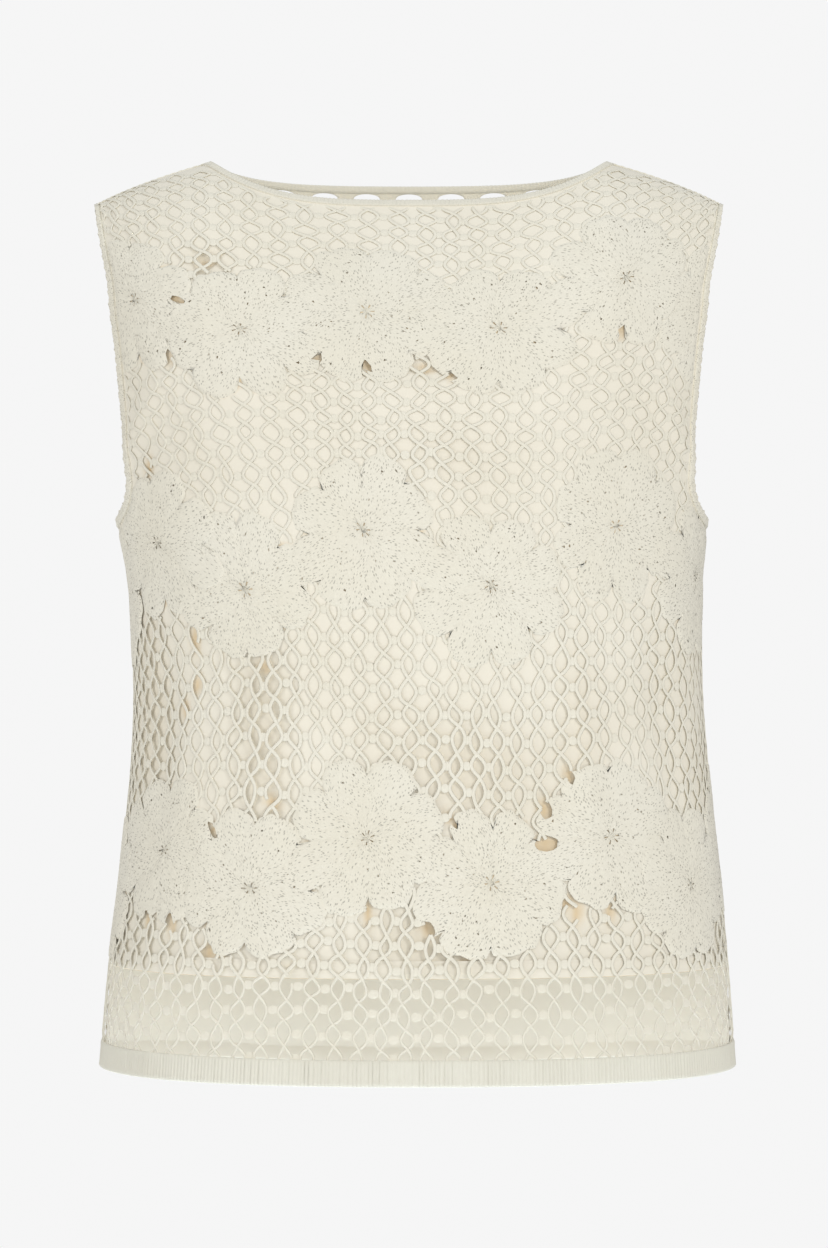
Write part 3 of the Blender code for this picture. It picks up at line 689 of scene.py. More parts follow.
def unit_places(chain, row):
    """Places of net units by their numbers, fractions too, and their small cells' half width."""
    table = np.array(UNITS)
    down = np.linspace(table[0, 0], table[-1, 0], 400)
    pitch = np.interp(down, table[:, 0], table[:, 2])
    rows = np.concatenate(([0.0], np.cumsum(np.diff(down) / (pitch[1:] + pitch[:-1]) * 2)))
    v = np.interp(row, rows, down)
    u = chain * np.interp(v, table[:, 0], table[:, 1])
    return np.stack((u, v), axis=-1), np.interp(v, table[:, 0], table[:, 3])


def net_strands(panel, centres):
    """Wavy strands, which cross in pairs: places, heights and which of them stay."""
    rows = np.arange(0, ROWS_OF_UNITS, 1 / STRAND_STEPS)
    turn = math.pi * rows
    places, heights = [], []
    for chain in range(-CHAINS, CHAINS):
        line, sway = unit_places(np.full_like(rows, chain + 0.5), rows)
        line[:, 0] += 0.0006 * np.sin(1.9 * rows + 2.3 * chain)
        for hand in (-1, 1):
            aside = hand * sway * (0.88 + 0.24 * chance(chain, hand, np.floor(rows))) * np.sin(turn)
            places.append(line + np.stack((aside, 0 * rows), axis=1))
            heights.append(hand * 0.00010 * np.cos(turn))
    places, heights = np.array(places), np.array(heights)
    count = places.shape[:2]
    flat = warp(places.reshape(-1, 2))
    room = panel.room(flat)
    keep = (room > -UNDER_BAND) & (flower_share(flat, centres) > STRANDS_START)
    keep &= gap_share(flat, panel.gaps) < STRANDS_IN_GAP
    if panel.side == "back":
        keep &= reach(flat, panel.neck) > EYELET_STRIP
    keep = keep.reshape(count)
    wide = keep.copy()
    wide[:, 1:] |= keep[:, :-1]
    wide[:, :-1] |= keep[:, 1:]
    kept_in(flat, panel)
    heights = heights.ravel() + sink(room)
    return flat.reshape(*count, 2), heights.reshape(count), wide


def add_net(panel, centres, material):
    """The even net: paired strands with a stitched dot between neighbouring cells."""
    places, heights, keep = net_strands(panel, centres)
    lines, stations = keep.shape
    flat = places.reshape(-1, 2)
    points = panel.at(flat, heights.ravel())
    normals = panel.look_up(flat)[1]
    tangents = np.gradient(points.reshape(lines, stations, 3), axis=1).reshape(-1, 3)
    sideways = np.cross(normals, tangents)
    sideways /= np.linalg.norm(sideways, axis=1)[:, None] + 1e-12
    sides = len(STRAND)
    lined = smooth_step(panel.hem(flat[:, 0]) - LINING_SHORT[panel.side] - flat[:, 1], -0.004, 0.004)
    sideways *= (0.78 + 0.27 * lined)[:, None]
    tube = np.stack([points + sideways * a + normals * b for a, b in STRAND], axis=1)
    number = np.arange(lines * stations).reshape(lines, stations)
    both = keep[:, :-1] & keep[:, 1:]
    first, second = number[:, :-1][both], number[:, 1:][both]
    faces = []
    for i in range(sides):
        j = (i + 1) % sides
        quad = (first * sides + i, first * sides + j, second * sides + j, second * sides + i)
        faces.append(np.stack(quad, axis=1))
    faces = np.concatenate(faces)
    strand_points, strand_faces = unused_removed(tube.reshape(-1, 3), faces)
    dot_points, dot_faces = net_dots(panel, centres)
    points = np.concatenate((strand_points, dot_points))
    faces = strand_faces.tolist() + [[i + len(strand_points) for i in f] for f in dot_faces]
    return add_piece(panel.side + "_net", points, faces, material, panel.side + "_lace")


def net_dots(panel, centres):
    """Stitched dots of the net."""
    chain, row = np.meshgrid(np.arange(-CHAINS, CHAINS + 1), np.arange(ROWS_OF_UNITS) + 0.5)
    middles, sway = unit_places(chain.ravel(), row.ravel())
    table = np.array(UNITS)
    width = np.interp(middles[:, 1], table[:, 0], table[:, 1]) / 2 - sway + 0.0004
    middles = warp(middles)
    room = panel.room(middles)
    keep = (room > 0.0005) & (flower_share(middles, centres) > 1.03)
    keep &= gap_share(middles, panel.gaps) < 0.25
    keep &= np.abs(middles[:, 0]) < HALF - 0.002
    keep &= middles[:, 1] > panel.top(middles[:, 0]) + 0.002
    if panel.side == "back":
        keep &= reach(middles, panel.neck) > EYELET_STRIP
    middles, room, width = middles[keep], room[keep], width[keep]
    rings = ((0.42, 1.0), (0.80, 0.72), (1.0, 0.02))
    spokes = 10
    points = [middles]
    heights = [np.full(len(middles), DOT_LEVEL + DOT_RISE * 0.92) + sink(room)]
    for share, rise in rings:
        for spoke in range(spokes):
            angle = math.tau * spoke / spokes
            wobble = 1 + 0.09 * (chance(middles[:, 0] * 1e3, spoke, 3) - 0.5)
            offset = np.stack((width * share * math.cos(angle) * wobble,
                               DOT_DOWN * share * math.sin(angle) * wobble), axis=1)
            points.append(middles + offset)
            heights.append(np.full(len(middles), DOT_LEVEL + DOT_RISE * rise) + sink(room))
    count = len(middles)
    flat = np.concatenate(points)
    flat[:, 0] = np.clip(flat[:, 0], -HALF, HALF)
    placed = panel.at(flat, np.concatenate(heights))
    faces = []
    for dot in range(count):
        def corner(ring, spoke):
            return dot + count * (1 + ring * spokes + spoke % spokes)
        for spoke in range(spokes):
            faces.append([dot, corner(0, spoke), corner(0, spoke + 1)])
            for ring in range(len(rings) - 1):
                faces.append([corner(ring, spoke), corner(ring + 1, spoke),
                              corner(ring + 1, spoke + 1), corner(ring, spoke + 1)])
    return placed, faces


def stitch_rows(places, petals, index):
    """Places seen along and across their petals, to lay the painted shade of the stitch holes in rows.
    """
    middle = math.tau * (petals + 0.5) / PETALS
    x, y = places[..., 0], places[..., 1]
    along = x * np.cos(middle) - y * np.sin(middle)
    aside = -x * np.sin(middle) - y * np.cos(middle)
    return np.stack((0.45 * along, aside, 0 * along + 0.13 * index + 0.037 * petals), axis=-1)


def add_flowers(panel, centres, material):
    """Stitched flowers over the net, as fine sheets with pinholes and a turned-down rim."""
    ring_steps = np.tile((0.56, 1.44), 14)
    spoke_steps = np.tile((0.56, 1.44), PETALS * PETAL_SPOKES // 2)
    radii = np.concatenate(([0.03], 0.03 + 0.97 * np.cumsum(ring_steps) / ring_steps.sum()))
    turns = math.tau * np.concatenate(([0.0], np.cumsum(spoke_steps)[:-1])) / spoke_steps.sum()
    rings, spokes = len(radii), len(turns)
    all_points, all_faces, all_rows, total = [], [], [], 0
    for index, centre in enumerate(centres):
        share, angle = np.meshgrid(radii, turns, indexing="ij")
        row, spoke = np.indices((rings, spokes))
        inner = (row > 2) & (row < rings - 2)
        share = share + inner * 0.013 * (chance(row, spoke, index, 31) - 0.5)
        angle = angle + inner * 0.024 * (chance(row, spoke, index, 37) - 0.5)
        outline = petal_reach(angle, index)
        blend = smooth_step(share, 0.15, 0.85)
        radius = share * (outline * blend + FLOWER_RADIUS * 0.93 * (1 - blend))
        places = np.stack((radius * np.cos(angle), -radius * np.sin(angle)), axis=2) + centre
        flat = warp(places.reshape(-1, 2))
        room = panel.room(flat)
        if panel.side == "back":
            room = np.where(reach(flat, panel.neck) < EYELET_STRIP, -1.0, room)
        flat, moved = cleared(flat, panel.gaps)
        keep = ((room > -UNDER_BAND) & ~moved).reshape(rings, spokes)
        if keep.sum() < 60:
            continue
        petal = np.mod(angle / math.tau * PETALS, 1.0)
        grain = chance(*np.indices((rings, spokes)), index)
        height = 0.00014 + 0.00042 * np.abs(np.sin(math.pi * petal)) * smooth_step(share, 0.2, 0.7)
        height += 0.00036 * (grain - 0.5) + 0.00018 * (index % 3)
        height -= 0.0003 * (1 - smooth_step(share, 0.05, 0.16))
        height *= 1 - 0.6 * smooth_step(share, 0.93, 1.0)
        height[-1] = -0.0004
        kept_in(flat, panel)
        points = panel.at(flat, height.ravel() + FLOWER_DIP * sink(room))
        i, k = np.meshgrid(np.arange(rings - 1), np.arange(spokes), indexing="ij")
        nxt = (k + 1) % spokes
        whole = keep[i, k] | keep[i + 1, k] | keep[i, nxt] | keep[i + 1, nxt]
        corners = flat.reshape(rings, spokes, 2)
        middles = (corners[i, k] + corners[i + 1, k] + corners[i, nxt] + corners[i + 1, nxt]) / 4
        whole &= (gap_share(middles.reshape(-1, 2), panel.gaps) < PETALS_IN_GAP).reshape(whole.shape)
        every = np.where(i < 8, 4, 2)
        holes = (i % 2 == 0) & (k % every == 0) & (i > 2) & (i < rings - 3)
        holes &= chance(i, k, index, 7) < 0.02 + 0.07 * i / rings
        holes |= (i == 1) & (k % 22 < 4)
        stay = whole & ~holes
        base = total
        quads = np.stack((i * spokes + k, (i + 1) * spokes + k,
                          (i + 1) * spokes + nxt, i * spokes + nxt), axis=2)[stay]
        middle = len(points)
        heart = panel.at(centre[None], np.array([0.0002]))
        all_points.append(np.concatenate((points, heart)))
        all_faces += (quads + base).tolist()
        around = (places - centre).reshape(-1, 2)
        petals = (k // PETAL_SPOKES)[stay][:, None]
        all_rows.append(stitch_rows(around[quads], petals, index).reshape(-1, 3))
        if keep[0].all():
            hub = base + middle
            all_faces += [[hub, base + k, base + (k + 1) % spokes] for k in range(spokes)]
            first = np.arange(spokes)
            corners = np.stack((0 * around[first], around[first], around[(first + 1) % spokes]),
                               axis=1)
            petals = (first // PETAL_SPOKES)[:, None]
            all_rows.append(stitch_rows(corners, petals, index).reshape(-1, 3))
        total += len(points) + 1
    used = sorted({i for face in all_faces for i in face})
    numbers = {old: new for new, old in enumerate(used)}
    points = np.concatenate(all_points)[used]
    faces = [[numbers[i] for i in face] for face in all_faces]
    thing = add_piece(panel.side + "_flowers", points, faces, material,
                      panel.side + "_lace")
    rows = thing.data.attributes.new("stitch_rows", "FLOAT_VECTOR", "CORNER")
    rows.data.foreach_set("vector", np.concatenate(all_rows).astype(np.float32).ravel())
    return thing


def triangulated(ring, holes, spacing, room):
    """Flat triangles inside a ring and outside its holes, over an even grid of points."""
    low, high = ring.min(axis=0), ring.max(axis=0)
    across = np.arange(low[0], high[0], spacing)
    down = np.arange(low[1], high[1], spacing)
    grid = np.array([(u, v) for u in across for v in down])
    closed = np.concatenate((ring, ring[:1]))
    grid = grid[inside(grid, ring) & (reach(grid, closed) > room)]
    for hole in holes:
        closed = np.concatenate((hole, hole[:1]))
        grid = grid[~inside(grid, hole) & (reach(grid, closed) > room)]
    points, edges = [], []
    for line in (ring, *holes):
        first, count = len(points), len(line)
        points += [Vector(point) for point in line]
        edges += [(first + i, first + (i + 1) % count) for i in range(count)]
    points += [Vector(point) for point in grid]
    found = geometry.delaunay_2d_cdt(points, edges, [], 0, 1e-7)
    corners = np.array([tuple(point) for point in found[0]])
    triangles = np.array(found[2])
    middles = corners[triangles].mean(axis=1)
    keep = inside(middles, ring)
    for hole in holes:
        keep &= ~inside(middles, hole)
    return corners, triangles[keep]


def loose_depths(panel, places):
    """Depths of the lining's loose stretches at places, one array for each stretch."""
    return [depth * ridge(places, (x0, v0), (x1, v1), width)
            for side, x0, v0, x1, v1, width, depth in LOOSE if side == panel.side]


def lining_depth(panel, places):
    """How far the lining lies below the lace: closer on the body, slack beside folds."""
    room = panel.room(places)
    slack = np.zeros(len(places))
    for depth in loose_depths(panel, places):
        slack += depth
    slack += 0.0012 * gap_share(places, panel.gaps, 1.7)
    u, v = places[:, 0], places[:, 1]
    uneven = 1 + np.sin(47 * u + 21 * v) * np.sin(33 * v - 19 * u + 1.0)
    slack += (0.0001 + 0.0002 * smooth_step(v, 0.24, 0.36)) * uneven
    bottom = panel.hem(u) - LINING_SHORT[panel.side]
    slack += 0.0012 * smooth_step(v - bottom, -0.06, 0.0)
    free = smooth_step(room, 0.0, 0.012)
    depth = SEWN_DEPTH + free * (LINING_DEPTH - SEWN_DEPTH + slack)
    inside_band = smooth_step(v - panel.hem(u) + HEM_BAND, -0.05, -0.002)
    return depth + inside_band * (DEPTH_IN_BAND - depth)


def add_lining(panel, centres, material):
    """Plain lining, sewn in under the bands and hanging free at the bottom."""
    below_eyelets = EYELET_DROP + EYELET_HEIGHT + LINING_INSET
    neck = LINING_INSET if panel.side == "front" else below_eyelets
    ring = panel.outline(neck, LINING_INSET, LINING_SHORT[panel.side])
    flat, triangles = triangulated(ring, [], LINING_GRID, LINING_GRID_EDGE)
    points = panel.at(flat, -lining_depth(panel, flat))
    name = panel.side + "_lining"
    thing = add_piece(name + "_cloth", points, triangles, material, name)
    # Painted shade in the lining's colour: in and round the wide gaps, along its loose stretches and
    # under the flowers, clear of the bands.
    shade = gap_share(flat, panel.gaps, 1.15)
    for depth in loose_depths(panel, flat):
        shade = np.maximum(shade, LOOSE_SHADE * depth)
    under_flowers = 1 - smooth_step(flower_share(flat, centres), 0.82, 0.93)
    under_flowers *= smooth_step(panel.room(flat), 0.003, 0.012)
    set_shade(thing, np.maximum(shade, FLOWER_SHADE * under_flowers))
    return thing


def strip(points, closed=False):
    """Quads between rows of equal numbers of points."""
    rows, columns = points.shape[:2]
    i, k = np.meshgrid(np.arange(rows - 1), np.arange(columns if closed else columns - 1),
                       indexing="ij")
    nxt = (k + 1) % columns
    quads = (i * columns + k, i * columns + nxt, (i + 1) * columns + nxt, (i + 1) * columns + k)
    return np.stack(quads, axis=2).reshape(-1, 4)


def add_lining_hem(panel, material):
    """Turned and stitched hem of the lining."""
    across = np.linspace(-HALF, HALF, 260)
    bottom = panel.hem(across) - LINING_SHORT[panel.side]
    rows = []
    for step, out in TURNED_HEM:
        places = np.stack((across, bottom + step), axis=1)
        low = np.stack((across, bottom), axis=1)
        depth = lining_depth(panel, low)
        rows.append(panel.at(places, out - depth + 0.0003))
    points = np.array(rows)
    name = panel.side + "_lining_hem"
    thing = add_piece(name, points.reshape(-1, 3), strip(points), material,
                      panel.side + "_lining")
    # Painted shadow line: full shade along the turned edge of the front lining's hem.
    if panel.side == "front":
        shadow_rows = np.array([1.0 if abs(step + 0.0002) < 0.0003 else 0.0 for step, out in TURNED_HEM])
        set_shade(thing, np.repeat(shadow_rows, len(across)))
    return thing


def add_heading(panel, material):
    """Strip with a row of arched ovals below the back neckband."""
    top, bottom = 0.0035, EYELET_STRIP + 0.0018
    high, low = panel.neck_line(top), panel.neck_line(bottom)
    ring = np.concatenate((high, low[::-1]))
    middle_line = panel.neck_line(EYELET_DROP + EYELET_HEIGHT / 2)
    holes = []
    for number in range(EYELETS):
        middle = (number - (EYELETS - 1) / 2) * EYELET_PITCH
        index = int(np.argmin(np.abs(middle_line[:, 0] - middle)))
        slope = middle_line[index + 1] - middle_line[index - 1]
        along = slope / np.linalg.norm(slope)
        centre = middle_line[index] + along * (middle - middle_line[index, 0]) / along[0]
        drop = np.array((-along[1], along[0]))
        turns = np.linspace(0, math.tau, 28, endpoint=False)
        wave = np.abs(np.sin(turns)) ** 0.8 * np.sign(np.sin(turns))
        holes.append(centre + along * EYELET_WIDTH / 2 * np.cos(turns)[:, None]
                     + drop * EYELET_HEIGHT / 2 * wave[:, None])
    flat, triangles = triangulated(ring, holes, HEADING_GRID, HEADING_GRID_EDGE)
    rim = np.full(len(flat), 9.0)
    for hole in holes:
        rim = np.minimum(rim, reach(flat, np.concatenate((hole, hole[:1]))))
    grain = chance(np.round(flat[:, 0] * 1e4), np.round(flat[:, 1] * 1e4))
    bead = 0.0005 * np.exp(-((rim - 0.0009) / 0.0008) ** 2)
    outer = bead + 0.0003 * (grain - 0.5) * (rim > 1e-5) - 0.0002
    edge = smooth_step(reach(flat, panel.neck), 0.0045, 0.0075)
    outer = outer * edge - 0.0008 * (1 - edge)
    points = np.concatenate((panel.at(flat, outer), panel.at(flat, outer * 0 - 0.0013)))
    count = len(flat)
    edges = {(t[i], t[(i + 1) % 3]) for t in triangles.tolist() for i in range(3)}
    walls = [[b, a, a + count, b + count] for a, b in edges if (b, a) not in edges]
    faces = triangles.tolist() + (triangles[:, ::-1] + count).tolist() + walls
    return add_piece("back_heading", points, faces, material, "back_lace")


def band_points(stations, section, relief):
    """Rows of points round a band. Stations are pairs of places on its two edges."""
    rows = []
    for share, out, ribbed in section:
        row = []
        for panel, free, sewn, phase in stations:
            places = free + (sewn - free) * share
            row.append(panel.at(places, out + ribbed * relief(phase)))
        rows.append(np.concatenate(row))
    return np.array(rows)


def ribs(phase):
    """Rounded ribs with narrow grooves between them, some of them deeper than others."""
    wander = phase + 0.0003 * np.sin(phase * 260) + 0.0002 * np.sin(phase * 610 + 1.0)
    depth = RIB_RISE * (1.0 + 0.30 * np.sin(phase * 337) * np.sin(phase * 151 + 2.0))
    return depth * (np.abs(np.cos(math.pi * wander / RIB_PITCH)) ** 0.7 - 1.0)


def plain(phase):
    """Unevenness of a folded lace edge."""
    return 0.00022 * np.sin(phase * 900 + 2 * np.sin(phase * 130)) + 0.00022 * np.sin(phase * 2300)


# Sections of the bands from the free edge round to it again.
# Columns: share of the width, out in metres, share of the ribs' relief
NARROW = ((0.10, 0.0005, 1.0), (0.30, BAND_OUT, 1.0), (0.62, BAND_OUT, 1.0), (0.86, 0.0004, 0.8),
          (1.00, -0.0002, 0.4), (1.00, -BAND_IN, 0.0), (0.50, -BAND_IN, 0.2),
          (0.08, -0.0012, 0.6), (0.00, -0.0004, 1.0), (0.03, 0.0001, 1.0))
WIDE = ((0.04, 0.0004, 1.0), (0.16, BAND_OUT, 1.0), (0.40, BAND_OUT, 1.0), (0.70, BAND_OUT, 1.0),
        (0.90, 0.0005, 1.0), (0.97, 0.0002, 0.7), (1.00, -0.0004, 0.3), (1.00, -BAND_IN, 0.0),
        (0.50, -BAND_IN, 0.7), (0.06, -0.0012, 1.0), (0.00, -0.0004, 1.0))


def phases(line, start):
    """Lengths along a line, from start on, and where the next line goes on."""
    gaps = np.linalg.norm(np.diff(line, axis=0), axis=1)
    phase = start + np.concatenate(([0.0], np.cumsum(gaps)))
    return phase, phase[-1] + gaps[-1]


def add_narrow_band(name, stations, relief, material, node):
    """Narrow folded band through its stations, closed at both ends."""
    points = np.transpose(band_points(stations, NARROW, relief), (1, 0, 2))
    faces = strip(points, closed=True).tolist()
    sides = len(NARROW)
    faces.append(list(range(sides)))
    faces.append([len(points) * sides - 1 - i for i in range(sides)])
    return add_piece(name, points.reshape(-1, 3), faces, material, node)


def add_neckband(front, back, material):
    """Ribbed band round the neck, joined at the centre back."""
    join, steps = EYELET_PITCH / 2, NECK_STEPS
    runs = []
    free, sewn = back.neck_line(0.0, steps), back.neck_line(NECKBAND, steps)
    past = free[:, 0] > join - 0.0004
    before = free[:, 0] < join + 0.0004
    front_free, front_sewn = front.neck_line(0.0, steps), front.neck_line(NECKBAND, steps)
    runs.append((back, free[past], sewn[past]))
    runs.append((front, front_free[::-1][1:], front_sewn[::-1][1:]))
    runs.append((back, free[before][1:], sewn[before][1:]))
    stations, start = [], 0.0
    for panel, a, b in runs:
        phase, start = phases((a + b) / 2, start)
        stations.append((panel, a, b, phase))
    return add_narrow_band("neckband_knit", stations, lambda phase: NECK_RIBS * ribs(phase), material,
                           "neckband")


def add_armhole_band(front, back, sign, name, node, material):
    """Plain folded strip round an armhole."""
    stations, start = [], 0.0
    for panel in (front, back):
        a = panel.arm_line(sign, 0.0, ARM_STEPS)
        b = panel.arm_line(sign, ARMHOLE_BAND, ARM_STEPS)
        a[-1, 0] = b[-1, 0] = sign * HALF
        if panel is front:
            a, b = a[::-1], b[::-1]
        else:
            a, b = a[1:], b[1:]
        phase, start = phases(a, start)
        wave = 0.07 * np.sin(phase * 720 + 1.5 * np.sin(phase * 90)) + 0.04 * np.sin(phase * 1530)
        stations.append((panel, a + (a - b) * wave[:, None], b, phase))
    return add_narrow_band(name, stations, plain, material, node)


def add_hem_band(panel, material):
    """Ribbed band along half of the hem."""
    across = np.arange(-HALF, HALF + 1e-9, RIB_PITCH / 4)
    free = np.stack((across, panel.hem(across)), axis=1)
    sewn = np.stack((across, panel.hem(across) - HEM_BAND), axis=1)
    points = band_points([(panel, free, sewn, across)], WIDE, ribs)
    points = np.transpose(points, (1, 0, 2))
    name = "hem_rib_" + panel.side
    return add_piece(name, points.reshape(-1, 3), strip(points, closed=True), material,
                     "hem_band_" + panel.side)


def add_seams(front, material):
    """Cords along the side and shoulder seams, where the two lace panels meet."""
    points, faces = [], []
    lines = []
    for sign in (-1, 1):
        down = np.linspace(-UNDERARM + 0.003, LENGTH - HEM_BAND + 0.002, 240)
        lines.append(np.stack((np.full_like(down, sign * HALF), down), axis=1))
        neck = front.neck_line(NECKBAND - 0.001)[0 if sign < 0 else -1, 0]
        tip = front.arm_line(sign, ARMHOLE_BAND - 0.001)[0, 0]
        across = np.linspace(neck, tip, 60)
        lines.append(np.stack((across, front.top(across)), axis=1))
    turns = np.linspace(0, math.tau, 6, endpoint=False)
    for line in lines:
        count = len(line)
        run = np.arange(count)
        centre = front.at(line, np.full(count, -0.0002) + 0.0002 * np.sin(run * 1.9))
        tangent = np.gradient(centre, axis=0)
        tangent /= np.linalg.norm(tangent, axis=1)[:, None]
        normal = front.look_up(line)[1]
        side = np.cross(tangent, normal)
        tube = [centre + side * CORD_HALF_WIDTH * math.cos(t) + normal * CORD_HALF_HEIGHT * math.sin(t)
                for t in turns]
        rows = np.transpose(np.array(tube), (1, 0, 2))
        faces += (strip(rows, closed=True) + len(points)).tolist()
        points += rows.reshape(-1, 3).tolist()
    return add_piece("seam_cords", np.array(points), faces, material, "front_lace")


def set_inputs(node, values):
    """Uniform values on a node's inputs."""
    for name, value in values.items():
        node.inputs[name].default_value = value


def add_node(nodes, kind, values):
    """Shader node with the values of its inputs; a mix is one of colours."""
    node = nodes.new("ShaderNode" + kind)
    if kind == "Mix":
        node.data_type = "RGBA"
    set_inputs(node, values)
    return node


def cloth(name, colour, dark, grain, grain_depth, weave=None, pit_shade_scale=None, painted_shade_tone=None, rows=None):
    """Matt cotton: faint drift, grain and, where given, knitting, painted shade in stitch holes and a
    painted shade tone.
    """
    material = bpy.data.materials.new(name)
    material.use_nodes = True
    nodes, links = material.node_tree.nodes, material.node_tree.links
    shader = nodes["Principled BSDF"]
    set_inputs(shader, {"Roughness": 0.88, "Specular IOR Level": 0.25,
                        "Sheen Weight": 0.15, "Sheen Roughness": 0.6})
    place = nodes.new("ShaderNodeTexCoord").outputs["Object"]
    drift = add_node(nodes, "TexNoise", {"Scale": 18.0, "Detail": 5.0})
    links.new(place, drift.inputs["Vector"])
    mix = add_node(nodes, "Mix", {"A": (*dark, 1.0), "B": (*colour, 1.0)})
    spread = add_node(nodes, "MapRange", {"From Min": 0.3, "From Max": 0.65})
    links.new(drift.outputs["Fac"], spread.inputs["Value"])
    links.new(spread.outputs["Result"], mix.inputs["Factor"])
    painted = mix.outputs["Result"]
    # Painted shade: a warm, darker tone mixed into the base colour by the piece's shade attribute.
    if painted_shade_tone:
        shade = add_node(nodes, "Attribute", {})
        shade.attribute_name = "shade"
        tone = add_node(nodes, "Mix", {"B": (*painted_shade_tone, 1.0)})
        links.new(shade.outputs["Fac"], tone.inputs["Factor"])
        links.new(painted, tone.inputs["A"])
        painted = tone.outputs["Result"]
    # Painted shade of the stitch holes: dark spots from a Voronoi pattern, laid in rows where a rows
    # attribute is given.
    if pit_shade_scale:
        spots = add_node(nodes, "TexVoronoi", {"Scale": pit_shade_scale})
        laid = place
        if rows:
            attribute = add_node(nodes, "Attribute", {})
            attribute.attribute_name = rows
            laid = attribute.outputs["Vector"]
        links.new(laid, spots.inputs["Vector"])
        fade = add_node(nodes, "MapRange", {"From Min": 0.14, "From Max": 0.36})
        links.new(spots.outputs["Distance"], fade.inputs["Value"])
        pit_shade_mix = add_node(nodes, "Mix", {"A": (*(PIT_SHADE_TONE * part for part in dark), 1.0)})
        links.new(fade.outputs["Result"], pit_shade_mix.inputs["Factor"])
        links.new(painted, pit_shade_mix.inputs["B"])
        painted = pit_shade_mix.outputs["Result"]
    links.new(painted, shader.inputs["Base Color"])
    fibre = add_node(nodes, "TexNoise", {"Scale": grain, "Detail": 3.0})
    links.new(place, fibre.inputs["Vector"])
    last = add_node(nodes, "Bump", {"Strength": 0.7, "Distance": grain_depth})
    links.new(fibre.outputs["Fac"], last.inputs["Height"])
    if weave:
        knit = add_node(nodes, "TexVoronoi", {"Scale": weave})
        links.new(place, knit.inputs["Vector"])
        second = add_node(nodes, "Bump", {"Strength": 0.6, "Distance": grain_depth})
        second.invert = True
        links.new(knit.outputs["Distance"], second.inputs["Height"])
        links.new(last.outputs["Normal"], second.inputs["Normal"])
        last = second
    links.new(last.outputs["Normal"], shader.inputs["Normal"])
    return material


def add_camera():
    """The photo's camera."""
    data = bpy.data.cameras.new("camera")
    data.lens = CAMERA_LENS
    data.sensor_width = 36.0
    data.clip_start = 0.05
    data.clip_end = 50.0
    camera = bpy.data.objects.new("camera", data)
    camera.location = (CAMERA_ASIDE, -CAMERA_DISTANCE, CAMERA_HEIGHT)
    camera.rotation_euler = (math.pi / 2, 0, 0)
    bpy.context.scene.collection.objects.link(camera)
    bpy.context.scene.camera = camera


def add_light(name, place, size, energy, aim, colour=(1.0, 1.0, 1.0)):
    """Square soft light that faces a point."""
    data = bpy.data.lights.new(name, "AREA")
    data.color = colour
    data.size = size
    data.energy = energy
    light = bpy.data.objects.new(name, data)
    light.location = place
    light.rotation_euler = (Vector(aim) - Vector(place)).to_track_quat("-Z", "Y").to_euler()
    bpy.context.scene.collection.objects.link(light)


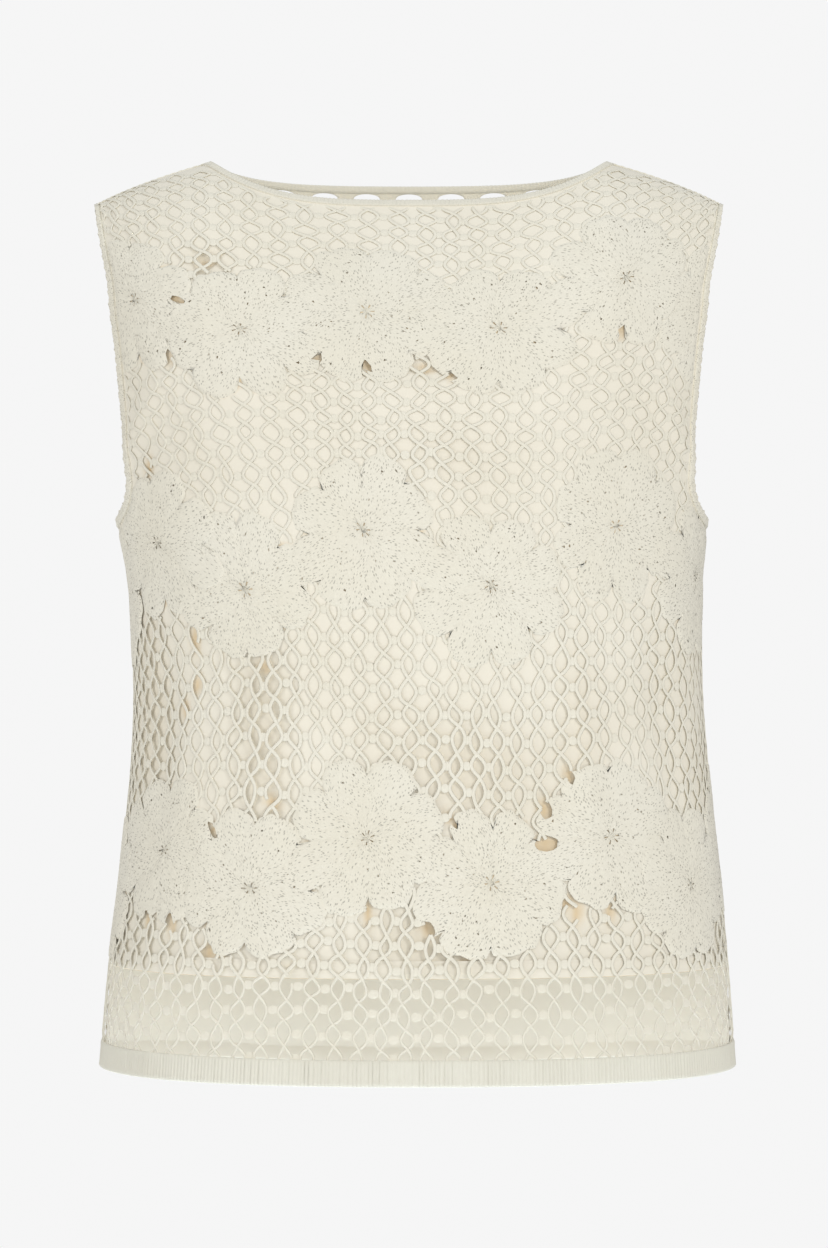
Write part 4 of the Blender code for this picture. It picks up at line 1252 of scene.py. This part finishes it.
def add_studio():
    """Pale floor, pale surroundings and soft lights."""
    work = bmesh.new()
    bmesh.ops.create_circle(work, cap_ends=True, radius=FLOOR_RADIUS, segments=96)
    mesh = bpy.data.meshes.new("floor")
    work.to_mesh(mesh)
    work.free()
    floor = bpy.data.objects.new("floor", mesh)
    floor.location = (0, 0, FLOOR_LEVEL)
    bpy.context.scene.collection.objects.link(floor)
    mesh.materials.append(cloth("floor", (0.80, 0.80, 0.80), (0.79, 0.79, 0.79), 40.0, 0.0002))
    world = bpy.data.worlds.new("studio")
    bpy.context.scene.world = world
    world.use_nodes = True
    nodes, links = world.node_tree.nodes, world.node_tree.links
    back = nodes["Background"]
    back.inputs["Color"].default_value = (1.0, 1.0, 1.0, 1.0)
    back.inputs["Strength"].default_value = WORLD_LIGHT
    seen = nodes.new("ShaderNodeBackground")
    seen.inputs["Color"].default_value = (1.0, 1.0, 1.0, 1.0)
    seen.inputs["Strength"].default_value = WORLD_SEEN
    mix = nodes.new("ShaderNodeMixShader")
    path = nodes.new("ShaderNodeLightPath")
    links.new(path.outputs["Is Camera Ray"], mix.inputs["Fac"])
    links.new(back.outputs["Background"], mix.inputs[1])
    links.new(seen.outputs["Background"], mix.inputs[2])
    links.new(mix.outputs["Shader"], nodes["World Output"].inputs["Surface"])
    add_light("key", (1.6, -1.9, 0.5), 0.4, KEY_POWER, (0, 0, -0.3))
    add_light("fill", (0.2, -3.2, 0.0), 1.4, FILL_POWER, (0, 0, -0.3))
    add_light("side", (-2.1, -1.0, 0.1), 1.0, SIDE_POWER, (0, 0, -0.3))
    add_light("below", (0, -0.1, -1.05), 0.5, LOW_POWER, (0, 0, -0.3), COOL)
    add_light("above", (0, -0.2, 0.9), 0.5, HIGH_POWER, (0, 0.05, -0.2), COOL)
    add_light("rear", (-0.6, 2.2, 0.2), 1.4, REAR_POWER, (0, 0, -0.3))
    bpy.context.scene.view_settings.view_transform = "Standard"


PIT_SHADE_TONE = 0.56          # how dark the painted shade in a stitch hole is against the dark tone
FLOOR_LEVEL = -1.1
FLOOR_RADIUS = 2.3
COOL = (0.78, 0.89, 1.0)
WORLD_LIGHT = 0.46
WORLD_SEEN = 0.92
KEY_POWER = 18.2
FILL_POWER = 22.0
SIDE_POWER = 13.0
LOW_POWER = 3.1
HIGH_POWER = 1.6
REAR_POWER = 16.0

add_camera()
add_studio()
front, back = Panel("front"), Panel("back")
lace = cloth("lace", (0.80, 0.765, 0.655), (0.77, 0.73, 0.61), 1500.0, 0.0003, 700.0)
# The flower stitching and the armhole edging carry painted shade in their stitch holes.
stitched = cloth("stitching", (0.80, 0.765, 0.655), (0.78, 0.74, 0.62), 1500.0, 0.0003, 620.0,
                 pit_shade_scale=860.0, rows="stitch_rows")
edging = cloth("edging", (0.80, 0.765, 0.655), (0.78, 0.74, 0.62), 1500.0, 0.0003, 620.0,
               pit_shade_scale=760.0)
# The lining's cream is a little lighter than the lace's: partly its own tone, partly painted light
# that offsets the shade the lace casts on it.
lining = cloth("lining", (0.83, 0.785, 0.67), (0.81, 0.76, 0.64), 1100.0, 0.00012,
               painted_shade_tone=(0.74, 0.58, 0.36))
band = cloth("band", (0.75, 0.73, 0.63), (0.715, 0.69, 0.59), 1500.0, 0.0002)
# The neckband's knit is the hem band's knit a little darker, as painted shade at the neck.
neck_knit = cloth("neck_knit", (0.745, 0.715, 0.615), (0.715, 0.685, 0.585), 1500.0, 0.0002)
for panel in (front, back):
    centres = flower_centres(panel.side)
    panel.gaps = wide_gaps(panel.side, centres)
    net = add_net(panel, centres, lace)
    flowers = add_flowers(panel, centres, stitched)
    if panel is back:
        add_heading(panel, lace)
    else:
        add_seams(front, lace)
    plain_cloth = add_lining(panel, centres, lining)
    turned = add_lining_hem(panel, lining)
    hem = add_hem_band(panel, band)
neckband = add_neckband(front, back, neck_knit)
for sign, side in ((1, "left"), (-1, "right")):
    arm = add_armhole_band(front, back, sign, "armhole_strip_" + side, "armhole_band_" + side, edging)
